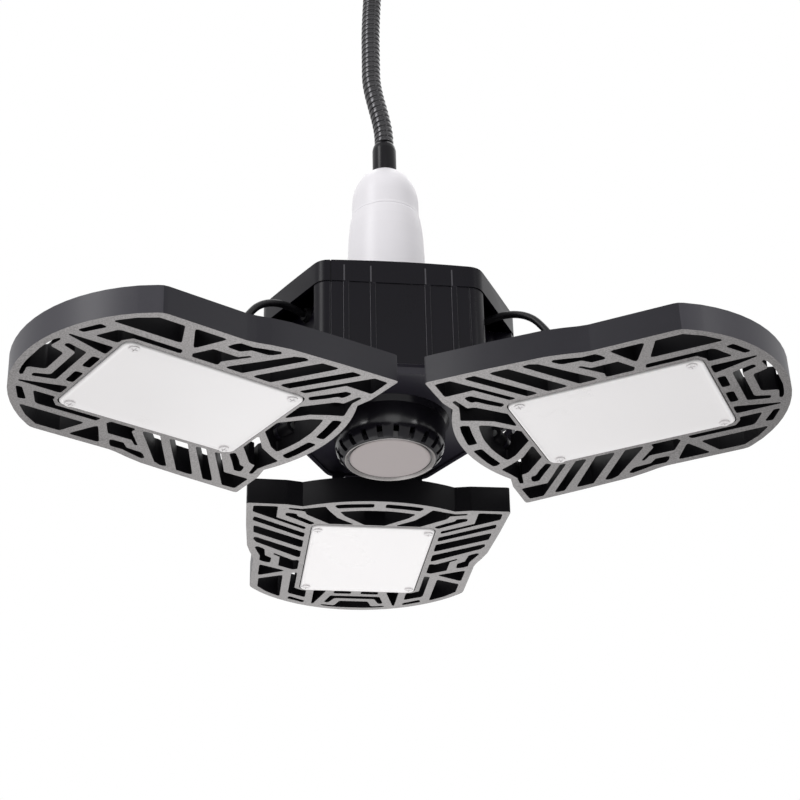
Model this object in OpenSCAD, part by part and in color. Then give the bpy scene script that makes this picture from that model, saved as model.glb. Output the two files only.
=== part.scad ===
// Folding three-panel garage light on a gooseneck, hung from a small ceiling canopy.
// Heights called level_ are measured up from the plane of the open panels' lit faces.

/* [Hanging] */
// Height of the ceiling above the lit faces of the open panels
ceiling_level = 394; // [390:1:420]
// Sideways offset of the lamp axis from the canopy axis
lamp_offset = 5; // [3:0.5:6]
// Pitch of the gooseneck's ribs
rib_pitch = 3.6; // [3.2:0.1:4.5]
// Outside radius of the gooseneck
hose_r = 5; // [4.6:0.1:5.3]

/* [Canopy] */
// Outside radius of the ceiling canopy
canopy_r = 45; // [42:1:48]
// Depth of the ceiling canopy
canopy_depth = 22; // [20:1:26]
// Distance between the centres of the two ceiling screw slots
slot_spacing = 50; // [44:1:54]

/* [Lampholder] */
// Outside radius of the lampholder skirt at its lower edge
skirt_r = 22.2; // [21.8:0.1:22.8]
// Radius of the lamp's screw shell over the thread
lamp_shell_r = 13.1; // [12.9:0.05:13.2]

/* [Hub] */
// Distance from the axis to the hub's panel sides
hub_panel_side = 65.6; // [65:0.1:66.5]
// Distance from the axis to the hub's ribbed corner faces
hub_corner_side = 57.3; // [56.8:0.1:58]
// Height of the top edge of the lid
lid_top_level = 91.5; // [90:0.5:93]
// Height of the joint between the lid and the housing
lid_joint_level = 79; // [78:0.5:80]
// Height of the hub's underside
hub_base_level = 26; // [25.9:0.1:26.3]
// Number of vent slots round the bowl
vent_count = 20; // [18:2:24]

/* [Panels] */
// Depth of a panel frame from its lit face to its back edge
frame_depth = 15; // [14.6:0.1:15.2]
// Half width of a panel frame at its root corners
root_half_w = 74.6; // [74:0.1:74.8]
// Depth of the lattice ribs
rib_depth = 13.5; // [12:0.5:14]
// Distance from the lamp axis to a hinge pin
hinge_reach = 56; // [55.9:0.1:56.4]
// Height of a hinge pin above the lit face
hinge_level = 11.3; // [11.2:0.1:11.4]
// Droop of the left panel's tip in the stored position
left_droop = 1; // [-2:0.5:4]
// Droop of the right panel's tip in the stored position
right_droop = -1; // [-2:0.5:4]
// Droop of the rear panel's tip in the stored position
back_droop = -2.5; // [-2.5:0.5:4]

/* [Hidden] */
$fn = 48;

left_turn = 210;
right_turn = 330;
back_turn = 90;
panel_turns = [left_turn, right_turn, back_turn];
corner_turns = [30, 150, 270];
hair = 0.02;

// Gooseneck: its centre line is a function of the level
ferrule_level = 191.7;
ferrule_top_level = 212.5;
hose_start_level = 205;
lower_joint_level = 258;
upper_joint_level = 312;
canopy_floor_level = ceiling_level - canopy_depth;
collar_level = canopy_floor_level - 12;
hose_end_level = canopy_floor_level - 4;
sway = 7.1;
hose_sides = 8;
hose_bore_r = 3.4;
cable_r = 2.4;

// Lampholder levels
skirt_level = 110;
cap_level = 159;
dome_level = 169;
carrier_level = 140;
lamp_neck_level = 108;
shell_top_level = 132;

// Hub
lid_wall = 2.4;
housing_wall = 2.6;
hub_ribs = [-28.8, -14.6, 14.6, 28.8];
seam_side = 37;
hub_screw_reach = 24.4;
lead_exit_level = 75.2;
recess_floor = 54;
recess_half_w = 23.5;
recess_floor_half_w = 16.5;
corner_round = 9;
bowl_level = 3.4;
bowl_r = 30;
disc_r = 22;

// Panel frame outline, measured along the panel from the lamp axis and across it
bulge_centre = 135;
bulge_r = 92.7;
kink_v = 43;
root_edge = 50.3;
datum = 32;
tip_centre = 136;
tip_r = 79.5;
side_half_w = 66.7;
border = 4.1;
pocket_start = 78.2;
pocket_end = 181.2;
pocket_half_w = 36.1;
pocket_depth = 5.6;
pocket_round = 5;
floor_thick = 2.4;
lens_gap = 0.55;
lens_lift = 0.8;
fin_count = 9;
fin_pitch = 8;

// Hinge
pin_r = 2;
knuckle_r = 4.2;
arm_inner = 19.2;
arm_outer = 25.8;
arm_boss_r = 4.4;
knuckle_inner = 9.5;
knuckle_outer = 30.6;
ear_pocket_r = 6;
ear_pocket_w = 7.6;
gland_reach = 88;
lead_r = 2;

function smooth(t) = let (c = min(1, max(0, t))) c * c * (3 - 2 * c);
function unit(v) = v / norm(v);
function hose_x(level) =
    -sway * smooth((level - 216) / 50) + (sway - lamp_offset) * smooth((level - 290) / 60);
function hose_slope(level) = (hose_x(level + 0.5) - hose_x(level - 0.5));

// Ring of points round a centre line that lies in the X-Z plane
function ring(centre, along, r, sides) = [
    for (i = [0 : sides - 1])
        let (a = 360 * (i + 0.5) / sides)
        [
            centre[0] + r * cos(a) * along[1],
            r * sin(a),
            centre[1] - r * cos(a) * along[0]
        ]
];

// Quads that join ring k of a stack to ring k + 1
function band(k, sides, flip = false) = [
    for (i = [0 : sides - 1])
        let (
            a = k * sides + i,
            b = k * sides + (i + 1) % sides,
            quad = [a, b, b + sides, a + sides]
        )
        flip ? [quad[3], quad[2], quad[1], quad[0]] : quad
];

// Each corner of an outline replaced by a short curve
function rounded(outline, r, steps = 2) =
    let (n = len(outline))
    [
        for (i = [0 : n - 1])
            let (
                b = outline[i],
                to_a = outline[(i + n - 1) % n] - b,
                to_c = outline[(i + 1) % n] - b,
                ua = unit(to_a),
                uc = unit(to_c),
                half = acos(max(-0.999, min(0.999, ua * uc))) / 2,
                t = min(r / tan(half), 0.48 * norm(to_a), 0.48 * norm(to_c))
            )
            for (s = [0 : steps])
                let (k = s / steps)
                (1 - k) * (1 - k) * (b + ua * t) + 2 * k * (1 - k) * b + k * k * (b + uc * t)
    ];

function mirrored(half) = [for (p = half) [p[0], -p[1]]];
function reversed(list) = [for (i = [len(list) - 1 : -1 : 0]) list[i]];
function both_sides(half) = concat(half, reversed(mirrored(half)));
function arc(cx, r, from, to, steps) = [
    for (i = [0 : steps])
        let (a = from + (to - from) * i / steps)
        [cx + r * cos(a), r * sin(a)]
];

// Hexagon whose sides face the panels and the corners in turn
function hub_hexagon(inset) =
    let (
        p = hub_panel_side - inset,
        c = hub_corner_side - inset,
        half_c = (2 * p - c) / sqrt(3),
        reach = norm([half_c, c]),
        lean = atan2(half_c, c)
    )
    [
        for (turn = corner_turns)
            for (side = [-1, 1])
                [reach * cos(turn + side * lean), reach * sin(turn + side * lean)]
    ];

module hub_outline(inset) {
    polygon(rounded(hub_hexagon(inset), corner_round, 4));
}

module recess_outline(grow) {
    back = recess_floor - grow;
    polygon(rounded([
        [back, -recess_floor_half_w - grow],
        [back, recess_floor_half_w + grow],
        [hub_panel_side + 10, recess_half_w + 4 + grow],
        [hub_panel_side + 10, -recess_half_w - 4 - grow]
    ], 5, 3));
}

// Moves a part drawn about the lamp axis into the frame of the whole light
module on_lamp() {
    translate([lamp_offset, 0, -ceiling_level]) children();
}

module at_turns(turns) {
    for (turn = turns)
        rotate([0, 0, turn]) children();
}

// Panel-side placement: turned to its side and tilted about its hinge pin
module on_panel(turn, droop) {
    on_lamp()
        rotate([0, 0, turn])
            translate([hinge_reach, 0, hinge_level])
                rotate([0, droop, 0])
                    translate([-hinge_reach, 0, -hinge_level])
                        children();
}

module ribbed_hose(from, to) {
    ribs = floor((to - from) / rib_pitch);
    step = (to - from) / (2 * ribs);
    outer_count = 2 * ribs + 1;
    bore_count = 5;
    outer = [
        for (k = [0 : outer_count - 1])
            let (level = from + k * step)
            each ring(
                [hose_x(level), level],
                unit([hose_slope(level), 1]),
                k % 2 == 0 ? hose_r - 0.75 : hose_r,
                hose_sides
            )
    ];
    bore = [
        for (k = [0 : bore_count - 1])
            let (level = from + k * (to - from) / (bore_count - 1))
            each ring([hose_x(level), level], unit([hose_slope(level), 1]), hose_bore_r, hose_sides)
    ];
    first = len(outer);
    last_outer = first - hose_sides;
    last_bore = first + len(bore) - hose_sides;
    polyhedron(
        points = concat(outer, bore),
        faces = concat(
            [for (k = [0 : outer_count - 2]) each band(k, hose_sides, true)],
            [for (k = [0 : bore_count - 2]) each band(outer_count + k, hose_sides)],
            [
                for (i = [0 : hose_sides - 1])
                    let (j = (i + 1) % hose_sides)
                    [i, j, first + j, first + i]
            ],
            [
                for (i = [0 : hose_sides - 1])
                    let (j = (i + 1) % hose_sides)
                    [last_bore + i, last_bore + j, last_outer + j, last_outer + i]
            ]
        )
    );
}

// Headings along a route, each from the point before to the point after
function headings(route) = [
    for (k = [0 : len(route) - 1])
        unit(route[min(k + 1, len(route) - 1)] - route[max(k - 1, 0)])
];

// Round tube swept along points that lie in the X-Z plane
module swept_tube(route, ways, r, sides) {
    n = len(route);
    polyhedron(
        points = [for (k = [0 : n - 1]) each ring(route[k], ways[k], r, sides)],
        faces = concat(
            [for (k = [0 : n - 2]) each band(k, sides, true)],
            [[for (i = [0 : sides - 1]) i]],
            [[for (i = [sides - 1 : -1 : 0]) (n - 1) * sides + i]]
        )
    );
}

module cable(from, to) {
    count = ceil((to - from) / 12);
    levels = [for (k = [0 : count]) from + k * (to - from) / count];
    swept_tube(
        [for (level = levels) [hose_x(level), level]],
        [for (level = levels) unit([hose_slope(level), 1])],
        cable_r, 8
    );
}

// ---- Ceiling fitting ----

module ceiling_strap() {
    strap_w = 20;
    strap_t = 2;
    half = canopy_r - 4.2;
    color("gainsboro")
    difference() {
        union() {
            translate([-half, -strap_w / 2, -strap_t]) cube([2 * half, strap_w, strap_t]);
            for (side = [-1, 1])
                translate([side * (half - strap_t / 2) - strap_t / 2, -strap_w / 2, -12])
                    cube([strap_t, strap_w, 12]);
        }
        for (side = [-1, 1]) {
            translate([side * slot_spacing / 2, 0, -strap_t - 1])
                linear_extrude(strap_t + 2) {
                    translate([-4.5, 0]) circle(r = 2.5);
                    translate([4.5, 0]) circle(r = 2.5);
                    translate([-4.5, -2.5]) square([9, 5]);
                }
            translate([side * (half - 3), 0, -7.5])
                rotate([0, 90 * side, 0]) cylinder(r = 1.7, h = 6);
        }
        translate([0, 0, -strap_t - 1]) cylinder(r = 5, h = strap_t + 2);
    }
}

module canopy() {
    wall = 1.4;
    color("#1c1c1f")
    difference() {
        rotate_extrude(convexity = 4) {
            polygon(concat(
                [[5.2, -canopy_depth], [canopy_r - 7, -canopy_depth]],
                [
                    for (a = [-75 : 15 : 0])
                        [canopy_r - 7 + 7 * cos(a), -canopy_depth + 7 + 7 * sin(a)]
                ],
                [[canopy_r, -0.3], [canopy_r - wall, -0.3]],
                [
                    for (a = [0 : -15 : -90])
                        [canopy_r - 7 + (7 - wall) * cos(a), -canopy_depth + 7 + (7 - wall) * sin(a)]
                ],
                [[5.2, -canopy_depth + wall]]
            ));
        }
        for (side = [-1, 1])
            translate([side * (canopy_r - 4), 0, -7.5])
                rotate([0, 90 * side, 0]) cylinder(r = 2.2, h = 6);
    }
}

module canopy_screws() {
    color("silver")
    for (side = [-1, 1])
        translate([side * (canopy_r + 0.05), 0, -7.5])
            rotate([0, 90 * side, 0]) {
                difference() {
                    cylinder(r = 3.6, h = 2);
                    translate([-0.5, -4, 1.1]) cube([1, 8, 2]);
                }
                translate([0, 0, -7.6]) cylinder(r = 1.65, h = 7.6 + hair);
            }
}

module terminal_block() {
    color("#d8d4cc")
    difference() {
        translate([12, -11, -13.4]) cube([16, 22, 11.2]);
        for (way = [-1, 0, 1])
            translate([20, 7 * way, -8]) {
                rotate([0, 90, 0]) cylinder(r = 1.9, h = 18, center = true);
                for (end = [-1, 1])
                    translate([4.5 * end, 0, -6]) cylinder(r = 1.5, h = 5);
            }
    }
}

module core_wires() {
    wire_route = [[1.3, -13.5], [1.5, -11.5], [3, -9.3], [5.5, -8.2], [8.5, -8], [13, -8]];
    color("sienna")
    for (way = [-1, 0, 1])
        rotate([0, 0, 28 * way])
            swept_tube(wire_route, headings(wire_route), 0.8, 8);
}

module hose_lock_nut() {
    color("goldenrod")
    translate([0, 0, -canopy_depth + 1.5])
        difference() {
            cylinder(r = 8, h = 3.2, $fn = 6);
            translate([0, 0, -1]) cylinder(r = 5.3, h = 6);
        }
}

module hose_collar() {
    color("#232228")
    translate([0, 0, -ceiling_level])
        rotate_extrude()
            polygon([
                [5.4, collar_level], [7.4, collar_level], [8.4, collar_level + 2.5],
                [8.4, canopy_floor_level - 0.05], [5.05, canopy_floor_level - 0.05],
                [5.05, canopy_floor_level + 4.6], [3.6, canopy_floor_level + 4.6],
                [3.6, hose_end_level + 0.1], [5.4, hose_end_level + 0.1]
            ]);
}

// ---- Gooseneck and its cable ----

module hose_upper() {
    color("#2a2a2e") on_lamp() ribbed_hose(upper_joint_level, hose_end_level);
}

module hose_middle() {
    color("#2a2a2e") on_lamp() ribbed_hose(lower_joint_level, upper_joint_level);
}

module hose_lower() {
    color("#2a2a2e") on_lamp() ribbed_hose(hose_start_level, lower_joint_level);
}

module cable_upper() {
    color("white") on_lamp() cable(upper_joint_level, ceiling_level - 14);
}

module cable_middle() {
    color("white") on_lamp() cable(lower_joint_level, upper_joint_level);
}

module cable_lower() {
    color("white") on_lamp() cable(cap_level + 3, lower_joint_level);
}

// ---- Lampholder ----

module holder_ferrule() {
    color("#26242a") on_lamp()
        rotate_extrude()
            polygon([
                [3.2, ferrule_level + 0.1], [7, ferrule_level + 0.1], [7, ferrule_top_level - 4],
                [5.9, ferrule_top_level], [5.3, ferrule_top_level], [5.3, hose_start_level - 0.1],
                [3.2, hose_start_level - 0.1]
            ]);
}

module holder_cap() {
    wall = 2;
    dome_r = 19.3;
    dome_rise = 24.5;
    color("white") on_lamp()
        rotate_extrude()
            polygon(concat(
                [[19.6, cap_level], [19.6, cap_level + 1.2], [19.35, cap_level + 1.5]],
                [
                    for (a = [0 : 10 : 60])
                        [dome_r * cos(a), dome_level + dome_rise * sin(a)]
                ],
                [[7.3, ferrule_level], [3.2, ferrule_level], [3.2, ferrule_level - 5]],
                [
                    for (a = [60 : -10 : 0])
                        [(dome_r - wall) * cos(a), dome_level + (dome_rise - wall - 1) * sin(a)]
                ],
                [[dome_r - wall, cap_level]]
            ));
}

module holder_skirt() {
    wall = 1.9;
    top_r = 20.6;
    color("white") on_lamp()
        difference() {
            rotate_extrude()
                polygon([
                    [skirt_r - wall, skirt_level], [skirt_r - 0.5, skirt_level],
                    [skirt_r, skirt_level + 0.8], [skirt_r - 0.1, 131], [skirt_r - 0.35, 131.4],
                    [skirt_r - 0.4, 133], [21.5, 145], [top_r, 156.6],
                    [top_r - 0.9, cap_level - 0.1], [top_r - 3.2, cap_level - 0.1],
                    [top_r - 3.2, cap_level - 2.1], [20.9 - wall, 145]
                ]);
            for (turn = [90, 270])
                rotate([0, 0, turn])
                    translate([top_r - 0.6, -2, cap_level - 3.4]) cube([2, 4, 2]);
        }
}

module holder_carrier() {
    color("#e8e4da") on_lamp()
        difference() {
            union() {
                translate([0, 0, carrier_level]) cylinder(r = 16.6, h = 16.6);
                translate([0, 0, carrier_level - 4]) cylinder(r = 13.4, h = 4 + hair);
            }
            translate([0, 0, carrier_level - 5]) cylinder(r = 9, h = 5);
            translate([0, 0, carrier_level - 1]) cylinder(r = 1.6, h = 20);
            for (side = [-1, 1])
                translate([side * 11, 0, carrier_level + 7]) cylinder(r = 2, h = 12);
        }
}

module holder_centre_contact() {
    color("goldenrod") on_lamp() {
        translate([0, 0, carrier_level - 2.4]) cylinder(r = 4, h = 0.8);
        translate([0, 0, carrier_level - 1.6 - hair]) cylinder(r = 1.5, h = 12);
    }
}

module holder_screw_shell() {
    wall = 0.6;
    inner_r = lamp_shell_r + 0.45;
    top = carrier_level - 0.05;
    color("goldenrod") on_lamp()
        rotate_extrude()
            polygon([
                [inner_r, 114], [inner_r + wall, 114], [inner_r + wall, top], [inner_r, top]
            ]);
}

module holder_terminal_screws() {
    color("silver") on_lamp()
        for (side = [-1, 1])
            translate([side * 11, 0, carrier_level + 7.05])
                difference() {
                    cylinder(r = 1.95, h = 10.5);
                    translate([-2.5, -0.35, 9.6]) cube([5, 0.7, 2]);
                }
}

// ---- Lamp base and hub ----

module base_contact() {
    color("silver") on_lamp()
        rotate_extrude()
            polygon([
                [0, shell_top_level + 3.1], [4.6, shell_top_level + 3.1],
                [4.2, shell_top_level + 4.4], [0, shell_top_level + 5.2]
            ]);
}

module base_insulator() {
    color("#1d1a18") on_lamp()
        rotate_extrude()
            polygon([
                [0, shell_top_level + 0.05], [9.2, shell_top_level + 0.05], [7, shell_top_level + 3],
                [0, shell_top_level + 3]
            ]);
}

module base_shell() {
    color("silver") on_lamp()
        rotate_extrude()
            polygon([
                [lamp_shell_r - 0.7, lamp_neck_level + 0.05], [lamp_shell_r, lamp_neck_level + 0.05],
                [lamp_shell_r, shell_top_level - 3], [9.6, shell_top_level],
                [8.8, shell_top_level], [lamp_shell_r - 0.7, shell_top_level - 3.4]
            ]);
}

module lid() {
    color("#1b1a1f") on_lamp()
        difference() {
            union() {
                intersection() {
                    translate([0, 0, lid_joint_level])
                        linear_extrude(20) hub_outline(0);
                    union() {
                        translate([0, 0, lid_joint_level])
                            cylinder(r = 90, h = lid_top_level - lid_joint_level);
                        translate([0, 0, lid_top_level - hair])
                            cylinder(r1 = 74, r2 = 20, h = 4);
                    }
                }
                at_turns(corner_turns)
                    translate([hub_corner_side - 1, -1.4, lid_joint_level])
                        for (rib = hub_ribs)
                            translate([0, rib, 0])
                                cube([1.3, 0.8, lid_top_level - lid_joint_level - 2.5]);
                translate([0, 0, lid_top_level])
                    rotate_extrude()
                        polygon([
                            [0, 0], [26, 0], [26, 3], [23, 5.2], [20.5, 7], [17.4, 14.5],
                            [16.6, lamp_neck_level - lid_top_level], [0, lamp_neck_level - lid_top_level]
                        ]);
                translate([0, 0, lamp_neck_level - hair])
                    cylinder(r = lamp_shell_r - 0.75, h = 12);
            }
            translate([0, 0, lid_joint_level - 1])
                linear_extrude(lid_top_level - lid_joint_level - lid_wall + 1)
                    hub_outline(lid_wall);
            at_turns(corner_turns)
                translate([hub_corner_side - 0.8, -seam_side - 0.3, lid_joint_level - 1])
                    cube([2, 0.6, 30]);
            translate([0, 0, lid_top_level - 6]) cylinder(r = 11, h = 40);
        }
}

module housing() {
    h = lid_joint_level - hub_base_level - 4;
    color("#1b1a1f") on_lamp()
        translate([0, 0, hub_base_level + 4])
            difference() {
                union() {
                    linear_extrude(h - 0.1) hub_outline(0.5);
                    at_turns(corner_turns)
                        translate([hub_corner_side - 1, -1.4, 0])
                            for (rib = hub_ribs)
                                translate([0, rib, 0]) cube([1, 2.8, h - 0.1]);
                }
                at_turns(corner_turns)
                    for (side = [-1, 1])
                        translate([hub_corner_side - 1.3, side * seam_side - 0.3, -1])
                            cube([2, 0.6, h + 2]);
                translate([0, 0, -1])
                    linear_extrude(h + 2)
                        difference() {
                            hub_outline(0.5 + housing_wall);
                            at_turns(panel_turns) recess_outline(housing_wall);
                        }
                translate([0, 0, -1])
                    linear_extrude(h + 2)
                        at_turns(panel_turns) recess_outline(0);
                at_turns(panel_turns)
                    translate([recess_floor - 6, 0, lead_exit_level - hub_base_level - 4])
                        rotate([0, 90, 0]) cylinder(r = 3, h = 8);
            }
}

module hinge_arm() {
    arm_w = arm_outer - arm_inner;
    rotate([90, 0, 0])
        translate([0, 0, -arm_outer])
            linear_extrude(arm_w) {
                translate([hinge_reach, hinge_level]) circle(r = arm_boss_r);
                polygon([
                    [hinge_reach + 1, hinge_level + 3], [hinge_reach + 3, hinge_level + 1],
                    [hinge_reach + 5.4, hinge_level + 3.6], [hinge_reach + 7.2, hinge_level + 3.6],
                    [hinge_reach + 7.2, hub_base_level + 1], [hinge_reach + 4.4, hub_base_level + 1],
                    [hinge_reach + 4.4, hinge_level + 6.3]
                ]);
            }
}

module base_plate() {
    color("#1b1a1f") on_lamp()
        difference() {
            union() {
                hull() {
                    translate([0, 0, hub_base_level]) linear_extrude(0.1) hub_outline(3.2);
                    translate([0, 0, hub_base_level + 3.8]) linear_extrude(0.1) hub_outline(0.5);
                }
                translate([0, 0, hub_base_level - 1.4])
                    linear_extrude(4)
                        difference() {
                            hub_outline(1.4);
                            hub_outline(3.6);
                        }
                at_turns(panel_turns) {
                    hinge_arm();
                    mirror([0, 1, 0]) hinge_arm();
                }
            }
            at_turns(panel_turns)
                for (side = [-1, 1])
                    translate([hinge_reach, side * (arm_inner + arm_outer) / 2, hinge_level])
                        rotate([90, 0, 0]) cylinder(r = pin_r, h = 8, center = true);
            translate([0, 0, hub_base_level - 1]) cylinder(r = 20, h = 8);
            at_turns(corner_turns)
                translate([hub_screw_reach, 0, hub_base_level - 1]) cylinder(r = 1.6, h = 8);
        }
}

module driver_board() {
    color("darkgreen") on_lamp()
        translate([0, 0, 44])
            difference() {
                cylinder(r = 40, h = 1.6);
                translate([0, 0, -1]) cylinder(r = 5, h = 4);
            }
}

module driver_parts() {
    top = 45.65;
    color("dimgray") on_lamp() {
        translate([-16, -14, top]) cube([22, 24, 18]);
        for (spot = [[18, -14], [22, 4], [10, 20]])
            translate([spot[0], spot[1], top]) cylinder(r = 6, h = 20);
        translate([-24, 16, top]) cube([18, 10, 12]);
        translate([-28, -24, top]) cube([12, 6, 9]);
    }
}

module vent_bowl() {
    slot_w = 3;
    color("#141418") on_lamp()
        difference() {
            rotate_extrude()
                polygon([
                    [disc_r + 2.6, bowl_level], [26.4, bowl_level + 1.2], [28.4, bowl_level + 3.6],
                    [bowl_r - 0.4, bowl_level + 7], [bowl_r, bowl_level + 11],
                    [bowl_r + 0.3, hub_base_level - 3], [bowl_r + 2.6, hub_base_level - 0.1],
                    [20, hub_base_level - 0.1], [20, hub_base_level - 2],
                    [bowl_r - 2, hub_base_level - 2],
                    [bowl_r - 2, hub_base_level - 3], [bowl_r - 2.3, bowl_level + 11],
                    [bowl_r - 2.8, bowl_level + 7.4], [25.6, bowl_level + 4], [20, bowl_level + 2.6],
                    [20, bowl_level + 1.1], [disc_r + 2.6, bowl_level + 1.1]
                ]);
            at_turns([for (i = [0 : vent_count - 1]) 360 * i / vent_count])
                translate([disc_r + 3.3, -slot_w / 2, bowl_level - 1])
                    cube([10, slot_w, 7.3]);
            at_turns(corner_turns)
                translate([hub_screw_reach, 0, hub_base_level - 3]) cylinder(r = 1.6, h = 4);
        }
}

module bowl_rim() {
    color("silver") on_lamp()
        rotate_extrude()
            polygon([
                [disc_r + 0.3, bowl_level + 0.8], [disc_r + 2.1, bowl_level - 0.5],
                [disc_r + 2.5, bowl_level - 0.4], [disc_r + 2.5, bowl_level + 1],
                [disc_r + 0.3, bowl_level + 1]
            ]);
}

module centre_disc() {
    color("#a8a09d") on_lamp()
        rotate_extrude()
            polygon([
                [0, bowl_level + 0.2], [disc_r - 0.6, bowl_level + 0.2],
                [disc_r, bowl_level + 0.6], [disc_r, bowl_level + 1], [0, bowl_level + 1]
            ]);
}

module hub_screws() {
    color("silver") on_lamp()
        at_turns(corner_turns)
            translate([hub_screw_reach, 0, hub_base_level - 3.65]) {
                difference() {
                    cylinder(r = 2.8, h = 1.6);
                    translate([-0.4, -2, -0.1]) cube([0.8, 4, 1]);
                    translate([-2, -0.4, -0.1]) cube([4, 0.8, 1]);
                }
                translate([0, 0, 1]) cylinder(r = 1.55, h = 8);
            }
}

module hinge_pins() {
    color("gainsboro") on_lamp()
        at_turns(panel_turns)
            for (side = [-1, 1])
                translate([hinge_reach, side * knuckle_inner, hinge_level])
                    rotate([-90 * side, 0, 0]) {
                        cylinder(r = pin_r, h = knuckle_outer - knuckle_inner + 0.4);
                        translate([0, 0, knuckle_outer - knuckle_inner + 0.35])
                            cylinder(r1 = 2.9, r2 = 2.4, h = 1.1);
                    }
}

module lead_grommets() {
    color("#222226") on_lamp()
        at_turns(panel_turns)
            translate([recess_floor - 4.6, 0, lead_exit_level])
                rotate([0, 90, 0])
                    rotate_extrude()
                        polygon([
                            [lead_r + 0.02, 0], [2.95, 0], [2.95, 4.7], [4.4, 4.7], [3.4, 7.2],
                            [lead_r + 0.02, 7.2]
                        ]);
}

// ---- Panels ----

// Open run of points whose inner corners are rounded, each by its own radius
function rounded_run(run, radii) = [
    for (i = [0 : len(run) - 1])
        if (radii[i] == 0) run[i]
        else
            let (
                b = run[i],
                to_a = run[i - 1] - b,
                to_c = run[i + 1] - b,
                ua = unit(to_a),
                uc = unit(to_c),
                half = acos(max(-0.9999, min(0.9999, ua * uc))) / 2,
                t = min(radii[i] / tan(half), 0.45 * norm(to_a), 0.45 * norm(to_c))
            )
            for (k = [0, 0.5, 1])
                (1 - k) * (1 - k) * (b + ua * t) + 2 * k * (1 - k) * b + k * k * (b + uc * t)
];

// Half of a frame's outline, from the bulge over the lamp axis to the middle of the tip
function frame_half(inset) =
    let (
        r_in = bulge_r - inset,
        r_out = tip_r - inset,
        bend = asin(kink_v / r_in),
        side = side_half_w - inset,
        corner = asin(side / r_out)
    )
    concat(
        arc(bulge_centre, r_in, 180, 180 - bend * 7 / 8, 7),
        rounded_run([
            [bulge_centre - r_in * cos(bend), kink_v],
            [root_edge + 0.5 + inset, 52],
            [root_edge + inset, root_half_w - inset],
            [82, root_half_w - 1.3 - inset],
            [112, side + 4.7],
            [122, side + 2.7],
            [129, side + 0.8],
            [134, side],
            [tip_centre + r_out * cos(corner), side],
            [tip_centre + r_out * cos(corner - 8), r_out * sin(corner - 8)]
        ], [0, 4, 1.6, 0, 0, 12, 8, 8, 8, 0]),
        arc(tip_centre, r_out, corner - 9, 0, 9)
    );

module frame_outline(inset) {
    half = frame_half(inset);
    polygon(concat(half, reversed([for (p = half) if (p[1] > 0.01) [p[0], -p[1]]])));
}

// Openings on one side of the panel's centre line, measured from the hinge-side datum
side_openings = [
    [[22, 70.5], [30.2, 70.5], [54.2, 39.2], [50.2, 39.2], [37.3, 56.7], [22, 56.7]],
    [[36.5, 69.8], [42.8, 69.8], [66, 39], [59.4, 39]],
    [[49.5, 69.2], [60, 68.6], [81.8, 39], [70.6, 39]],
    [[66.4, 67.8], [70.5, 68.2], [74.8, 66.3], [97.8, 39.2], [87, 39.2]],
    [
        [81.2, 65.2], [82.5, 66.8], [90, 64.8], [96, 63], [102.8, 63], [105, 60.5], [107, 56.3],
        [99, 56], [95, 60], [86, 60.7], [84, 62]
    ],
    [
        [91.2, 54.8], [93, 55.3], [97, 51.2], [110.8, 51.2], [116.8, 42], [115.5, 39.3],
        [101, 39.3], [101.5, 43], [99.8, 45]
    ],
    [[109.6, 62.6], [127.8, 62.6], [119, 46.3]],
    [[126, 47.5], [132.8, 62], [146.3, 62], [155, 56], [162, 48.5], [161.7, 47.3]],
    [
        [121, 38.9], [122.5, 42.5], [155, 42.5], [157, 41.5], [162.6, 32.3], [162.3, 31.3],
        [151, 31.3], [150.6, 34.5], [147, 38.9]
    ],
    [[162.5, 41.5], [166, 42.3], [172.1, 32.3], [171.5, 31.3], [169, 31.3], [162.6, 40.3]],
    [[150.6, 26.7], [173.8, 26.5], [173.8, 25.3], [150.6, 18.6]],
    [[150.6, 3], [155, 3], [155, 13.9], [150.6, 13.9]],
    [[14, 3.2], [14.7, 10], [16, 19], [17.4, 24.6], [19.3, 25], [22.2, 23.2], [20.4, 14], [19, 3.2]],
    [
        [20, 30.3], [22.4, 37], [24.4, 43.5], [23.4, 50.4], [25.3, 51], [26, 49], [28, 41],
        [30.5, 40.6], [32.5, 39.5], [44.5, 26.3], [44.5, 13], [43.5, 12.5], [35.5, 22], [27, 27]
    ],
    [
        [30.4, 51], [31.5, 52], [34.2, 51.8], [35.2, 50.4], [40, 44.5], [46.2, 37.3], [46, 36],
        [44.2, 34.2], [38.3, 40.3], [35.3, 44.2], [34, 45.2], [32, 45.3], [30.8, 48]
    ]
];

// Upper halves of the openings that cross the panel's centre line
middle_openings = [
    [
        [23.6, 5], [24.2, 10], [25.1, 15], [26.3, 20.3], [27.3, 21.3], [32.5, 18.3], [44.5, 5.8]
    ],
    [
        [158.9, 15.5], [170, 18.7], [171.1, 17.2], [170.9, 15.7], [164.2, 13], [163.3, 11.8]
    ],
    [
        [167.7, 8.2], [168.8, 9.4], [175.3, 11.5], [176, 12.8], [174.6, 19.2], [175.6, 20.8],
        [177.2, 18.4], [178.4, 13.4], [179.2, 7]
    ]
];

module lattice_openings() {
    translate([datum, 0]) {
        for (outline = side_openings) {
            polygon(rounded(outline, 1.3));
            polygon(rounded(mirrored(outline), 1.3));
        }
        for (half = middle_openings)
            polygon(rounded(both_sides(half), 1.3));
    }
}

module pocket_outline(inset) {
    a = pocket_start + inset;
    b = pocket_end - inset;
    w = pocket_half_w - inset;
    polygon(rounded([[a, -w], [b, -w], [b, w], [a, w]], pocket_round - inset, 4));
}

module at_lens_screws() {
    for (reach = [pocket_start + 6.6, pocket_end - 6.6])
        for (side = [-1, 1])
            translate([reach, side * (pocket_half_w - 4), 0]) children();
}

// Hinge pin's line across the panel, as the axis of what is drawn along it
module along_pin() {
    translate([hinge_reach, 0, hinge_level]) rotate([90, 0, 0]) children();
}

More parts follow.
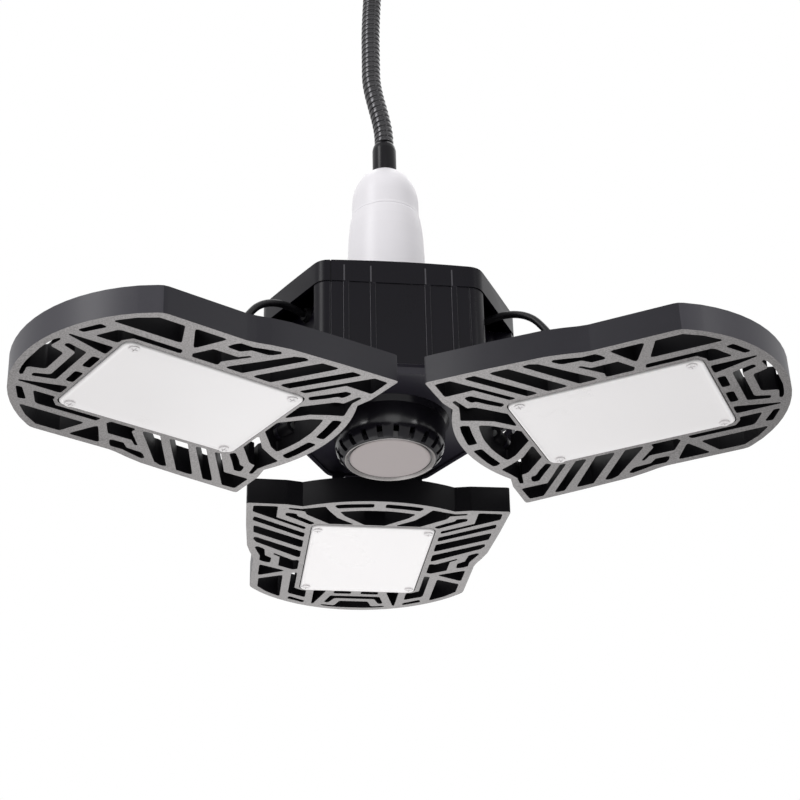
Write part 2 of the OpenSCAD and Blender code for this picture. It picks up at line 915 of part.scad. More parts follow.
module frame_body() {
    floor_level = pocket_depth + floor_thick;
    difference() {
        union() {
            difference() {
                linear_extrude(frame_depth)
                    difference() {
                        frame_outline(0);
                        lattice_openings();
                    }
                translate([0, 0, rib_depth]) linear_extrude(3) frame_outline(border);
                translate([0, 0, -1]) linear_extrude(pocket_depth + 1) pocket_outline(0);
                translate([0, 0, floor_level]) linear_extrude(9) pocket_outline(1);
                for (side = [-1, 1])
                    translate([0, side * (arm_inner + arm_outer) / 2, 0])
                        along_pin() {
                            cylinder(r = ear_pocket_r, h = ear_pocket_w, center = true);
                            translate([-ear_pocket_r, 0, -ear_pocket_w / 2])
                                cube([2 * ear_pocket_r, 9, ear_pocket_w]);
                        }
            }
            for (side = [-1, 1]) {
                translate([0, side * (knuckle_inner + 18.7) / 2, 0])
                    along_pin() cylinder(r = knuckle_r, h = 18.7 - knuckle_inner, center = true);
                translate([0, side * (26.3 + knuckle_outer) / 2, 0])
                    along_pin() cylinder(r = knuckle_r, h = knuckle_outer - 26.3, center = true);
            }
            for (i = [0 : fin_count - 1])
                translate([96, (i - (fin_count - 1) / 2) * fin_pitch - 0.9, floor_level - hair])
                    cube([78, 1.8, rib_depth - floor_level]);
        }
        for (side = [-1, 1])
            translate([0, side * (knuckle_inner + knuckle_outer) / 2, 0])
                along_pin()
                    cylinder(r = pin_r + 0.06, h = knuckle_outer - knuckle_inner + 2, center = true);
        translate([gland_reach, 0, pocket_depth - 1]) cylinder(r = 1.6, h = 9);
        at_lens_screws() translate([0, 0, pocket_depth - 1]) cylinder(r = 1.2, h = 9);
    }
}

module led_board_body() {
    translate([0, 0, pocket_depth - 1.65])
        difference() {
            linear_extrude(1.6) pocket_outline(0.6);
            at_lens_screws() translate([0, 0, -1]) cylinder(r = 1.7, h = 4);
        }
}

module led_chips_body() {
    rows = 6;
    in_row = 12;
    for (row = [0 : rows - 1])
        for (k = [0 : in_row - 1])
            translate([
                pocket_start + 11 + k * (pocket_end - pocket_start - 22) / (in_row - 1) - 1.4,
                (row - (rows - 1) / 2) * 10.4 - 1.4,
                pocket_depth - 2.4
            ])
                cube([2.8, 2.8, 0.75 - hair]);
}

module gasket_body() {
    translate([0, 0, 2.45])
        difference() {
            linear_extrude(pocket_depth - 1.65 - 2.5)
                difference() {
                    pocket_outline(0.15);
                    pocket_outline(2.4);
                }
        }
}

module lens_body() {
    difference() {
        union() {
            linear_extrude(2.4) pocket_outline(lens_gap);
            translate([0, 0, -lens_lift])
                linear_extrude(lens_lift + hair)
                    difference() {
                        pocket_outline(lens_gap + 0.3);
                        pocket_outline(lens_gap + 2.2);
                    }
        }
        at_lens_screws() {
            translate([0, 0, -2]) cylinder(r = 1.6, h = 6);
            translate([0, 0, -2]) cylinder(r = 3.2, h = 2);
        }
    }
}

module lens_screws_body() {
    at_lens_screws()
        difference() {
            union() {
                translate([0, 0, -1.45]) cylinder(r = 2.7, h = 1.4);
                translate([0, 0, -0.1]) cylinder(r = 1.18, h = 8.1);
            }
            translate([-1.8, -0.3, -2]) cube([3.6, 0.6, 1.1]);
            translate([-0.3, -1.8, -2]) cube([0.6, 3.6, 1.1]);
        }
}

module gland_body() {
    floor_level = pocket_depth + floor_thick;
    translate([gland_reach, 0, floor_level + 0.03])
        rotate_extrude()
            polygon([
                [lead_r + 0.02, 0], [4.6, 0], [4.6, 2.4], [3.8, 2.8], [3.4, 6.2], [lead_r + 0.02, 6.2]
            ]);
}

// ---- Panel leads, drawn in the plane of their panel ----

lead_route = [
    [49.6, 75.2], [53, 75.2], [57.6, 75.3], [62, 76], [68, 76.5], [74.2, 75.7], [80.1, 73.5],
    [85.3, 69.9], [89.4, 65.1], [93.7, 58.2], [96.6, 50.6], [98.1, 43.4], [98.4, 38.2],
    [97.9, 34], [96.1, 30], [93.2, 26.4], [90.6, 23.3], [88.7, 19.2], [88, 14.6], [88, 8.5]
];

// Route whose lower part follows its gland as the panel droops about its hinge
function lead_points(droop) = [
    for (i = [0 : len(lead_route) - 1])
        let (
            a = droop * smooth((i - 4) / 10),
            out = lead_route[i][0] - hinge_reach,
            up = lead_route[i][1] - hinge_level
        )
        [hinge_reach + out * cos(a) + up * sin(a), hinge_level - out * sin(a) + up * cos(a)]
];

module lead_body(droop) {
    swept_tube(lead_points(droop), headings(lead_points(droop)), lead_r, 8);
}

module left_frame() {
    color("gainsboro") on_panel(left_turn, left_droop) frame_body();
}

module left_led_board() {
    color("white") on_panel(left_turn, left_droop) led_board_body();
}

module left_led_chips() {
    color("lemonchiffon") on_panel(left_turn, left_droop) led_chips_body();
}

module left_gasket() {
    color("#1a1a1a") on_panel(left_turn, left_droop) gasket_body();
}

module left_lens() {
    color("white") on_panel(left_turn, left_droop) lens_body();
}

module left_lens_screws() {
    color("silver") on_panel(left_turn, left_droop) lens_screws_body();
}

module left_lead() {
    color("#2a2a2c") on_lamp() rotate([0, 0, left_turn]) lead_body(left_droop);
}

module left_gland() {
    color("#2a2a2c") on_panel(left_turn, left_droop) gland_body();
}

module right_frame() {
    color("gainsboro") on_panel(right_turn, right_droop) frame_body();
}

module right_led_board() {
    color("white") on_panel(right_turn, right_droop) led_board_body();
}

module right_led_chips() {
    color("lemonchiffon") on_panel(right_turn, right_droop) led_chips_body();
}

module right_gasket() {
    color("#1a1a1a") on_panel(right_turn, right_droop) gasket_body();
}

module right_lens() {
    color("white") on_panel(right_turn, right_droop) lens_body();
}

module right_lens_screws() {
    color("silver") on_panel(right_turn, right_droop) lens_screws_body();
}

module right_lead() {
    color("#2a2a2c") on_lamp() rotate([0, 0, right_turn]) lead_body(right_droop);
}

module right_gland() {
    color("#2a2a2c") on_panel(right_turn, right_droop) gland_body();
}

module back_frame() {
    color("gainsboro") on_panel(back_turn, back_droop) frame_body();
}

module back_led_board() {
    color("white") on_panel(back_turn, back_droop) led_board_body();
}

module back_led_chips() {
    color("lemonchiffon") on_panel(back_turn, back_droop) led_chips_body();
}

module back_gasket() {
    color("#1a1a1a") on_panel(back_turn, back_droop) gasket_body();
}

module back_lens() {
    color("white") on_panel(back_turn, back_droop) lens_body();
}

module back_lens_screws() {
    color("silver") on_panel(back_turn, back_droop) lens_screws_body();
}

module back_lead() {
    color("#2a2a2c") on_lamp() rotate([0, 0, back_turn]) lead_body(back_droop);
}

module back_gland() {
    color("#2a2a2c") on_panel(back_turn, back_droop) gland_body();
}

ceiling_strap();
canopy();
canopy_screws();
terminal_block();
core_wires();
hose_lock_nut();
hose_collar();
hose_upper();
hose_middle();
hose_lower();
cable_upper();
cable_middle();
cable_lower();
holder_ferrule();
holder_cap();
holder_skirt();
holder_carrier();
holder_centre_contact();
holder_screw_shell();
holder_terminal_screws();
base_contact();
base_insulator();
base_shell();
lid();
housing();
base_plate();
driver_board();
driver_parts();
vent_bowl();
bowl_rim();
centre_disc();
hub_screws();
hinge_pins();
lead_grommets();
left_frame();
left_led_board();
left_led_chips();
left_gasket();
left_lens();
left_lens_screws();
left_lead();
left_gland();
right_frame();
right_led_board();
right_led_chips();
right_gasket();
right_lens();
right_lens_screws();
right_lead();
right_gland();
back_frame();
back_led_board();
back_led_chips();
back_gasket();
back_lens();
back_lens_screws();
back_lead();
back_gland();
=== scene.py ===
"""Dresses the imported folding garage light: fine surfaces, finishes, leads and a plain studio.

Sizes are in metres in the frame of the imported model, whose origin lies between the
ceiling slots. A `level` is a height in millimetres above the lit faces of the open
panels, and a `reach` is a distance in millimetres from the lamp's own axis.
"""

from __future__ import annotations

import logging
import math
from collections.abc import Callable
from dataclasses import dataclass, field
from enum import Enum

import bmesh
import bpy
import numpy as np
from mathutils import Matrix, Vector


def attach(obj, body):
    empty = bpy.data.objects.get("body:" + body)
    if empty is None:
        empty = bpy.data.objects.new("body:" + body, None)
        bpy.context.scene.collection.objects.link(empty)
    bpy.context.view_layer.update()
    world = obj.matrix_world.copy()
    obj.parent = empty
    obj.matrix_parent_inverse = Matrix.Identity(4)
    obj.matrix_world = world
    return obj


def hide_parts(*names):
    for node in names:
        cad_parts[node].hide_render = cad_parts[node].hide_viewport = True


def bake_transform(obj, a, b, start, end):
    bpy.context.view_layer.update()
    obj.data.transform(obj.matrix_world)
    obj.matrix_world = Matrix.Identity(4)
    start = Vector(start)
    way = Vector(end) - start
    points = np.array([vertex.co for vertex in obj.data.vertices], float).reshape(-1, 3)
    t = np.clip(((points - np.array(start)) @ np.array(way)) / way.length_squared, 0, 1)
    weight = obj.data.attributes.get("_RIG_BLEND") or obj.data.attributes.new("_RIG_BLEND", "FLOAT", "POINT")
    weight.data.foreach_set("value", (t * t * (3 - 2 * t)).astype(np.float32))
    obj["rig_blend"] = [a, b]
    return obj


log = logging.getLogger("garage_light")

Array = np.ndarray
Place = Callable[[Array], Array]

MM = 1000.0  # millimetres in a metre
CEILING_LEVEL = 394.0  # level of the ceiling
LAMP_OFFSET = 5.0  # millimetres from the canopy's axis to the lamp's axis, along +X
HINGE_REACH = 56.0  # where a panel's hinge pins lie
HINGE_LEVEL = 11.3
SAME_POINT = 2e-6  # vertices closer than this, in metres, are joined
FLAT_WITHIN = 0.6  # degrees: copied faces that meet flatter than this become one
CRISP_ABOVE = 28.0  # degrees: edges of a copy that stay sharp
EASED_ABOVE = 32.0  # degrees: edges of a copy that are eased
EASE_STEPS = 2  # steps across an eased edge
MIX_FACTOR, MIX_A, MIX_B = 0, 2, 3  # sockets of a Mix node that mixes numbers
TINT_A, TINT_B, TINT_OUT = 6, 7, 2  # sockets of a Mix node that mixes colours


class Panel(Enum):
    """The three panels: name, turn about the lamp axis and droop of the tip, in degrees."""

    LEFT = ("left", 210.0, 1.0)
    RIGHT = ("right", 330.0, -1.0)
    BACK = ("back", 90.0, -2.5)

    @property
    def key(self) -> str:
        """Name that the panel's nodes start with."""
        return self.value[0]

    @property
    def turn(self) -> float:
        """Turn about the lamp axis, in radians."""
        return math.radians(self.value[1])

    @property
    def droop(self) -> float:
        """Droop of the tip, in radians."""
        return math.radians(self.value[2])


# ---------------------------------------------------------------- placing


def on_lamp(points: Array) -> Array:
    """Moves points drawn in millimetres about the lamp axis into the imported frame.

    Args:
        points: array of shape (..., 3), x and y from the axis and the level.

    Returns:
        The same points in metres.
    """
    return (np.asarray(points, float) + (LAMP_OFFSET, 0.0, -CEILING_LEVEL)) / MM


def on_ceiling(points: Array) -> Array:
    """Scales points drawn in millimetres about the canopy axis to metres."""
    return np.asarray(points, float) / MM


def on_panel(points: Array, panel: Panel) -> Array:
    """Places points drawn on an undrooped panel that lies along +X.

    The points turn by the droop about the hinge pin, then by the panel's turn about
    the lamp axis.

    Args:
        points: array of shape (..., 3) in millimetres.
        panel: which panel they belong to.

    Returns:
        The placed points, in metres.
    """
    p = np.asarray(points, float)
    reach, level = drooped(p[..., 0], p[..., 2], panel.droop)
    return turned(np.stack([reach, p[..., 1], level], -1), panel.turn)


def drooped(reach: Array, level: Array, droop: float | Array) -> tuple[Array, Array]:
    """Turns points of a panel about its hinge pin, so that its tip sinks.

    Args:
        reach: distances from the lamp axis, in millimetres.
        level: levels, in millimetres.
        droop: the turn, in radians.

    Returns:
        The new reaches and levels.
    """
    out, up = reach - HINGE_REACH, level - HINGE_LEVEL
    c, s = np.cos(droop), np.sin(droop)
    return HINGE_REACH + out * c + up * s, HINGE_LEVEL - out * s + up * c


def turned(points: Array, turn: float) -> Array:
    """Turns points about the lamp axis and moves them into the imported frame.

    Args:
        points: array of shape (..., 3), in millimetres about the lamp axis.
        turn: the turn, in radians.

    Returns:
        The turned points, in metres.
    """
    c, s = math.cos(turn), math.sin(turn)
    x = points[..., 0] * c - points[..., 1] * s
    y = points[..., 0] * s + points[..., 1] * c
    return on_lamp(np.stack([x, y, points[..., 2]], -1))


def smooth(t: Array) -> Array:
    """Smoothstep, 3t^2 - 2t^3, of t held between 0 and 1."""
    c = np.clip(t, 0.0, 1.0)
    return c * c * (3.0 - 2.0 * c)


# ---------------------------------------------------------------- surfaces


def new_object(name: str, points: Array, faces: list, angle: float = 35.0) -> bpy.types.Object:
    """Makes a mesh object from arrays and shades it smooth between its sharp edges.

    Args:
        name: name of the piece.
        points: vertices of shape (n, 3), in metres.
        faces: lists of vertex numbers.
        angle: edges that turn more than this many degrees stay sharp.

    Returns:
        The new object, linked to the scene.
    """
    mesh = bpy.data.meshes.new(name)
    mesh.from_pydata(points.reshape(-1, 3).tolist(), [], faces)
    tidy = bmesh.new()
    tidy.from_mesh(mesh)
    bmesh.ops.remove_doubles(tidy, verts=tidy.verts, dist=SAME_POINT)
    bmesh.ops.recalc_face_normals(tidy, faces=tidy.faces)
    tidy.to_mesh(mesh)
    tidy.free()
    shade(mesh, angle)
    piece = bpy.data.objects.new(name, mesh)
    bpy.context.scene.collection.objects.link(piece)
    return piece


def shade(mesh: bpy.types.Mesh, angle: float) -> None:
    """Shades a mesh smooth, with its sharp edges kept crisp.

    Args:
        mesh: the mesh.
        angle: edges that turn more than this many degrees stay sharp.
    """
    mesh.polygons.foreach_set("use_smooth", np.ones(len(mesh.polygons), bool))
    mesh.set_sharp_from_angle(angle=math.radians(angle))
    mesh.update()


def grid_faces(rows: int, cols: int, wrap_rows: bool, wrap_cols: bool) -> list:
    """Quads of a grid of points, numbered row by row.

    Args:
        rows: number of rows of points.
        cols: number of points in a row.
        wrap_rows: joins the last row to the first.
        wrap_cols: joins the last point of a row to its first.

    Returns:
        A list of quads.
    """
    r = np.arange(rows if wrap_rows else rows - 1)
    c = np.arange(cols if wrap_cols else cols - 1)
    r, c = np.meshgrid(r, c, indexing="ij")
    r2, c2 = (r + 1) % rows, (c + 1) % cols
    quads = np.stack([r * cols + c, r * cols + c2, r2 * cols + c2, r2 * cols + c], -1)
    return quads.reshape(-1, 4).tolist()


def softened(profile: Array, radius: float, steps: int = 3, closed: bool = True) -> Array:
    """Profile whose corners are eased by short parabolas.

    At each corner b with neighbours a and c, the curve is
    (1-k)^2 (b + t u) + 2k(1-k) b + k^2 (b + t v), where u and v point at a and c.
    It takes at most 45 % of the shorter side that meets the corner.

    Args:
        profile: points of shape (n, 2).
        radius: wished corner radius, in the profile's unit.
        steps: segments for each corner.
        closed: whether the last point joins the first.

    Returns:
        Points of shape (m, 2).
    """
    b = np.asarray(profile, float)
    a, c = np.roll(b, 1, 0), np.roll(b, -1, 0)
    la = np.linalg.norm(a - b, axis=1, keepdims=True)
    lc = np.linalg.norm(c - b, axis=1, keepdims=True)
    u, v = (a - b) / np.maximum(la, 1e-9), (c - b) / np.maximum(lc, 1e-9)
    half = np.arccos(np.clip((u * v).sum(1, keepdims=True), -0.999, 0.999)) / 2.0
    t = np.minimum(radius / np.tan(half), 0.45 * np.minimum(la, lc))
    if not closed:
        t[0] = t[-1] = 0.0
    k = np.linspace(0.0, 1.0, steps + 1)[None, :, None]
    p, q, m = (b + u * t)[:, None], (b + v * t)[:, None], b[:, None]
    return ((1 - k) ** 2 * p + 2 * k * (1 - k) * m + k**2 * q).reshape(-1, 2)


def lathe(
    name: str, profile: Array, place: Place = on_lamp, closed: bool = True, sides: int = 96
) -> bpy.types.Object:
    """Turns a profile about the vertical axis: (r, z) goes to (r cos t, r sin t, z).

    Args:
        name: name of the piece.
        profile: radius and level pairs, in millimetres.
        place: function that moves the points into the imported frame.
        closed: the profile is the outline of a wall; otherwise it runs axis to axis.
        sides: number of steps round the axis.

    Returns:
        The new object.
    """
    t = np.linspace(0.0, 2.0 * math.pi, sides, endpoint=False)
    r, z = profile[:, :1], profile[:, 1:]
    points = np.stack([r * np.cos(t), r * np.sin(t), z + 0.0 * t], -1)
    faces = grid_faces(len(profile), sides, closed, True)
    return new_object(name, place(points), faces)


def tube(name: str, line: Array, side: Array, radius: Array, sides: int) -> bpy.types.Object:
    """Carries a circle along a line that lies in a plane.

    A point is line + r (cos t side + sin t (along x side)), where `along` is the
    line's direction and `side` the normal of its plane.

    Args:
        name: name of the piece.
        line: points of shape (n, 3), in metres.
        side: unit normal of the plane, shape (3,).
        radius: radii in metres, broadcast to shape (n, sides).
        sides: number of steps round the tube.

    Returns:
        The new object, closed by a flat cap at each end.
    """
    along = np.gradient(line, axis=0)
    along /= np.linalg.norm(along, axis=1, keepdims=True)
    across = np.cross(along, side)
    t = np.linspace(0.0, 2.0 * math.pi, sides, endpoint=False)
    r = np.broadcast_to(radius, (len(line), sides))[..., None]
    ring = np.cos(t)[None, :, None] * side + np.sin(t)[None, :, None] * across[:, None]
    points = line[:, None] + r * ring
    faces = grid_faces(len(line), sides, False, True)
    last = (len(line) - 1) * sides
    faces += [list(range(sides)), list(range(last, last + sides))]
    return new_object(name, points, faces)


def through(points: Array, steps: int) -> Array:
    """Catmull-Rom curve through a run of points.

    Args:
        points: shape (n, d).
        steps: samples for each span.

    Returns:
        Points of shape ((n - 1) steps + 1, d).
    """
    p = np.vstack([2 * points[0] - points[1], points, 2 * points[-1] - points[-2]])
    k = np.linspace(0.0, 1.0, steps, endpoint=False)[None, :, None]
    a, b, c, d = (p[i : len(p) - 3 + i][:, None] for i in range(4))
    curve = 0.5 * (
        2 * b + (c - a) * k + (2 * a - 5 * b + 4 * c - d) * k**2 + (3 * b - a - 3 * c + d) * k**3
    )
    return np.vstack([curve.reshape(-1, points.shape[1]), points[-1]])


def fine_copy(node: str, name: str, bevel: float, edge_slot: int = -1) -> bpy.types.Object:
    """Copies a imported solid, joins its loose triangles and eases its edges.

    Args:
        node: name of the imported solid.
        name: name of the new piece.
        bevel: width of the eased edges, in millimetres.
        edge_slot: material slot of the eased edges, or -1 for the neighbouring one.

    Returns:
        The new object.
    """
    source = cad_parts[node]
    mesh = source.data.copy()
    mesh.name = name
    tidy = bmesh.new()
    tidy.from_mesh(mesh)
    bmesh.ops.remove_doubles(tidy, verts=tidy.verts, dist=SAME_POINT)
    bmesh.ops.dissolve_limit(
        tidy, angle_limit=math.radians(FLAT_WITHIN), verts=tidy.verts, edges=tidy.edges
    )
    tidy.to_mesh(mesh)
    tidy.free()
    for layer in [a for a in mesh.attributes if a.name == "custom_normal"]:
        mesh.attributes.remove(layer)
    shade(mesh, CRISP_ABOVE)
    mesh.materials.clear()
    piece = bpy.data.objects.new(name, mesh)
    bpy.context.scene.collection.objects.link(piece)
    ease = piece.modifiers.new("eased edges", "BEVEL")
    ease.width = bevel / MM
    ease.segments = EASE_STEPS
    ease.limit_method = "ANGLE"
    ease.angle_limit = math.radians(EASED_ABOVE)
    ease.use_clamp_overlap = True
    ease.material = edge_slot
    ease.harden_normals = True
    return piece


def hang(piece: bpy.types.Object, body: str, node: str) -> None:
    """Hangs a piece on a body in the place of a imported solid.

    Args:
        piece: the piece.
        body: the body that it moves with.
        node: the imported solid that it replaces.
    """
    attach(piece, body)
    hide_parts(node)


# ---------------------------------------------------------------- finishes


class Effects:
    """Shader node groups that several finishes share, built once."""

    def __init__(self) -> None:
        """Builds both groups."""
        self.tone = self._uneven_tone()
        self.grain = self._cast_grain()

    @staticmethod
    def _group(name: str, inputs: dict, outputs: dict) -> bpy.types.NodeTree:
        """Makes an empty group with named sockets.

        Args:
            name: name of the group.
            inputs: socket name to (socket type, default value).
            outputs: socket name to socket type.

        Returns:
            The node tree, with its input and output nodes.
        """
        tree = bpy.data.node_groups.new(name, "ShaderNodeTree")
        for label, (kind, value) in inputs.items():
            socket = tree.interface.new_socket(name=label, in_out="INPUT", socket_type=kind)
            socket.default_value = value
        for label, kind in outputs.items():
            tree.interface.new_socket(name=label, in_out="OUTPUT", socket_type=kind)
        tree.nodes.new("NodeGroupInput")
        tree.nodes.new("NodeGroupOutput")
        return tree

    def _uneven_tone(self) -> bpy.types.NodeTree:
        """Slow blotches and fine specks that shift a colour and its roughness.

        Returns:
            The group.
        """
        tree = self._group(
            "uneven_tone",
            {
                "Color": ("NodeSocketColor", (0.5, 0.5, 0.5, 1.0)),
                "Dark": ("NodeSocketColor", (0.4, 0.4, 0.4, 1.0)),
                "Blotch Scale": ("NodeSocketFloat", 40.0),
                "Speck Scale": ("NodeSocketFloat", 2500.0),
                "Speck Share": ("NodeSocketFloat", 0.5),
                "Roughness": ("NodeSocketFloat", 0.5),
                "Roughness Spread": ("NodeSocketFloat", 0.1),
            },
            {"Color": "NodeSocketColor", "Roughness": "NodeSocketFloat"},
        )
        n, link = tree.nodes, tree.links.new
        given, out = n["Group Input"], n["Group Output"]
        where = n.new("ShaderNodeTexCoord")
        blotch = n.new("ShaderNodeTexNoise")
        blotch.inputs["Detail"].default_value = 4.0
        speck = n.new("ShaderNodeTexNoise")
        speck.inputs["Detail"].default_value = 2.0
        link(where.outputs["Object"], blotch.inputs["Vector"])
        link(where.outputs["Object"], speck.inputs["Vector"])
        link(given.outputs["Blotch Scale"], blotch.inputs["Scale"])
        link(given.outputs["Speck Scale"], speck.inputs["Scale"])
        both = n.new("ShaderNodeMix")
        link(given.outputs["Speck Share"], both.inputs[MIX_FACTOR])
        link(blotch.outputs["Fac"], both.inputs[MIX_A])
        link(speck.outputs["Fac"], both.inputs[MIX_B])
        spread = n.new("ShaderNodeMapRange")
        spread.inputs["From Min"].default_value = 0.3
        spread.inputs["From Max"].default_value = 0.7
        link(both.outputs[0], spread.inputs["Value"])
        tint = n.new("ShaderNodeMix")
        tint.data_type = "RGBA"
        link(spread.outputs["Result"], tint.inputs[MIX_FACTOR])
        link(given.outputs["Dark"], tint.inputs[TINT_A])
        link(given.outputs["Color"], tint.inputs[TINT_B])
        link(tint.outputs[TINT_OUT], out.inputs["Color"])
        rough = n.new("ShaderNodeMath")
        rough.operation = "MULTIPLY_ADD"
        centred = n.new("ShaderNodeMath")
        centred.operation = "SUBTRACT"
        centred.inputs[1].default_value = 0.5
        link(spread.outputs["Result"], centred.inputs[0])
        link(centred.outputs[0], rough.inputs[0])
        link(given.outputs["Roughness Spread"], rough.inputs[1])
        link(given.outputs["Roughness"], rough.inputs[2])
        link(rough.outputs[0], out.inputs["Roughness"])
        return tree

    def _cast_grain(self) -> bpy.types.NodeTree:
        """Height of a cast or moulded skin: rounded cells under fine noise.

        Returns:
            The group.
        """
        tree = self._group(
            "cast_grain",
            {
                "Cell Scale": ("NodeSocketFloat", 1500.0),
                "Noise Scale": ("NodeSocketFloat", 3000.0),
                "Cell Share": ("NodeSocketFloat", 0.5),
            },
            {"Height": "NodeSocketFloat"},
        )
        n, link = tree.nodes, tree.links.new
        given, out = n["Group Input"], n["Group Output"]
        where = n.new("ShaderNodeTexCoord")
        cells = n.new("ShaderNodeTexVoronoi")
        cells.feature = "SMOOTH_F1"
        noise = n.new("ShaderNodeTexNoise")
        noise.inputs["Detail"].default_value = 3.0
        link(where.outputs["Object"], cells.inputs["Vector"])
        link(where.outputs["Object"], noise.inputs["Vector"])
        link(given.outputs["Cell Scale"], cells.inputs["Scale"])
        link(given.outputs["Noise Scale"], noise.inputs["Scale"])
        mix = n.new("ShaderNodeMix")
        link(given.outputs["Cell Share"], mix.inputs[MIX_FACTOR])
        link(noise.outputs["Fac"], mix.inputs[MIX_A])
        link(cells.outputs["Distance"], mix.inputs[MIX_B])
        link(mix.outputs[0], out.inputs["Height"])
        return tree


@dataclass(frozen=True)
class Finish:
    """A surface finish: colours in linear light, and how its skin scatters."""

    name: str
    color: tuple
    dark: tuple
    roughness: float
    metallic: float = 0.0
    specular: float = 0.5
    coat: float = 0.0
    coat_roughness: float = 0.25
    blotch: float = 40.0
    speck: float = 2500.0
    speck_share: float = 0.5
    spread: float = 0.1
    cell: float = 1500.0
    noise: float = 3000.0
    cell_share: float = 0.4
    bump: float = 0.1
    bump_depth: float = 0.00005
    subsurface: float = 0.0
    scatter: tuple = (0.004, 0.004, 0.004)
    scatter_scale: float = 0.3

    def material(self, effects: Effects) -> bpy.types.Material:
        """Builds the material.

        Args:
            effects: the shared node groups.

        Returns:
            The new material.
        """
        made = bpy.data.materials.new(self.name)
        made.use_nodes = True
        n, link = made.node_tree.nodes, made.node_tree.links.new
        skin = n["Principled BSDF"]
        tone = n.new("ShaderNodeGroup")
        tone.node_tree = effects.tone
        grain = n.new("ShaderNodeGroup")
        grain.node_tree = effects.grain
        bump = n.new("ShaderNodeBump")
        for label, value in {
            "Color": (*self.color, 1.0),
            "Dark": (*self.dark, 1.0),
            "Blotch Scale": self.blotch,
            "Speck Scale": self.speck,
            "Speck Share": self.speck_share,
            "Roughness": self.roughness,
            "Roughness Spread": self.spread,
        }.items():
            tone.inputs[label].default_value = value
        grain.inputs["Cell Scale"].default_value = self.cell
        grain.inputs["Noise Scale"].default_value = self.noise
        grain.inputs["Cell Share"].default_value = self.cell_share
        bump.inputs["Strength"].default_value = self.bump
        bump.inputs["Distance"].default_value = self.bump_depth
        link(grain.outputs["Height"], bump.inputs["Height"])
        link(bump.outputs["Normal"], skin.inputs["Normal"])
        link(tone.outputs["Color"], skin.inputs["Base Color"])
        link(tone.outputs["Roughness"], skin.inputs["Roughness"])
        skin.inputs["Metallic"].default_value = self.metallic
        skin.inputs["Specular IOR Level"].default_value = self.specular
        skin.inputs["Coat Weight"].default_value = self.coat
        skin.inputs["Coat Roughness"].default_value = self.coat_roughness
        if self.subsurface:
            skin.inputs["Subsurface Weight"].default_value = self.subsurface
            skin.inputs["Subsurface Radius"].default_value = self.scatter
            skin.inputs["Subsurface Scale"].default_value = self.scatter_scale
        return made


HUB_SKIN = {"cell": 1100.0, "noise": 2600.0, "bump": 0.14}
FRAME_SKIN = {"blotch": 60.0, "cell": 1300.0, "noise": 2400.0, "bump": 0.16}

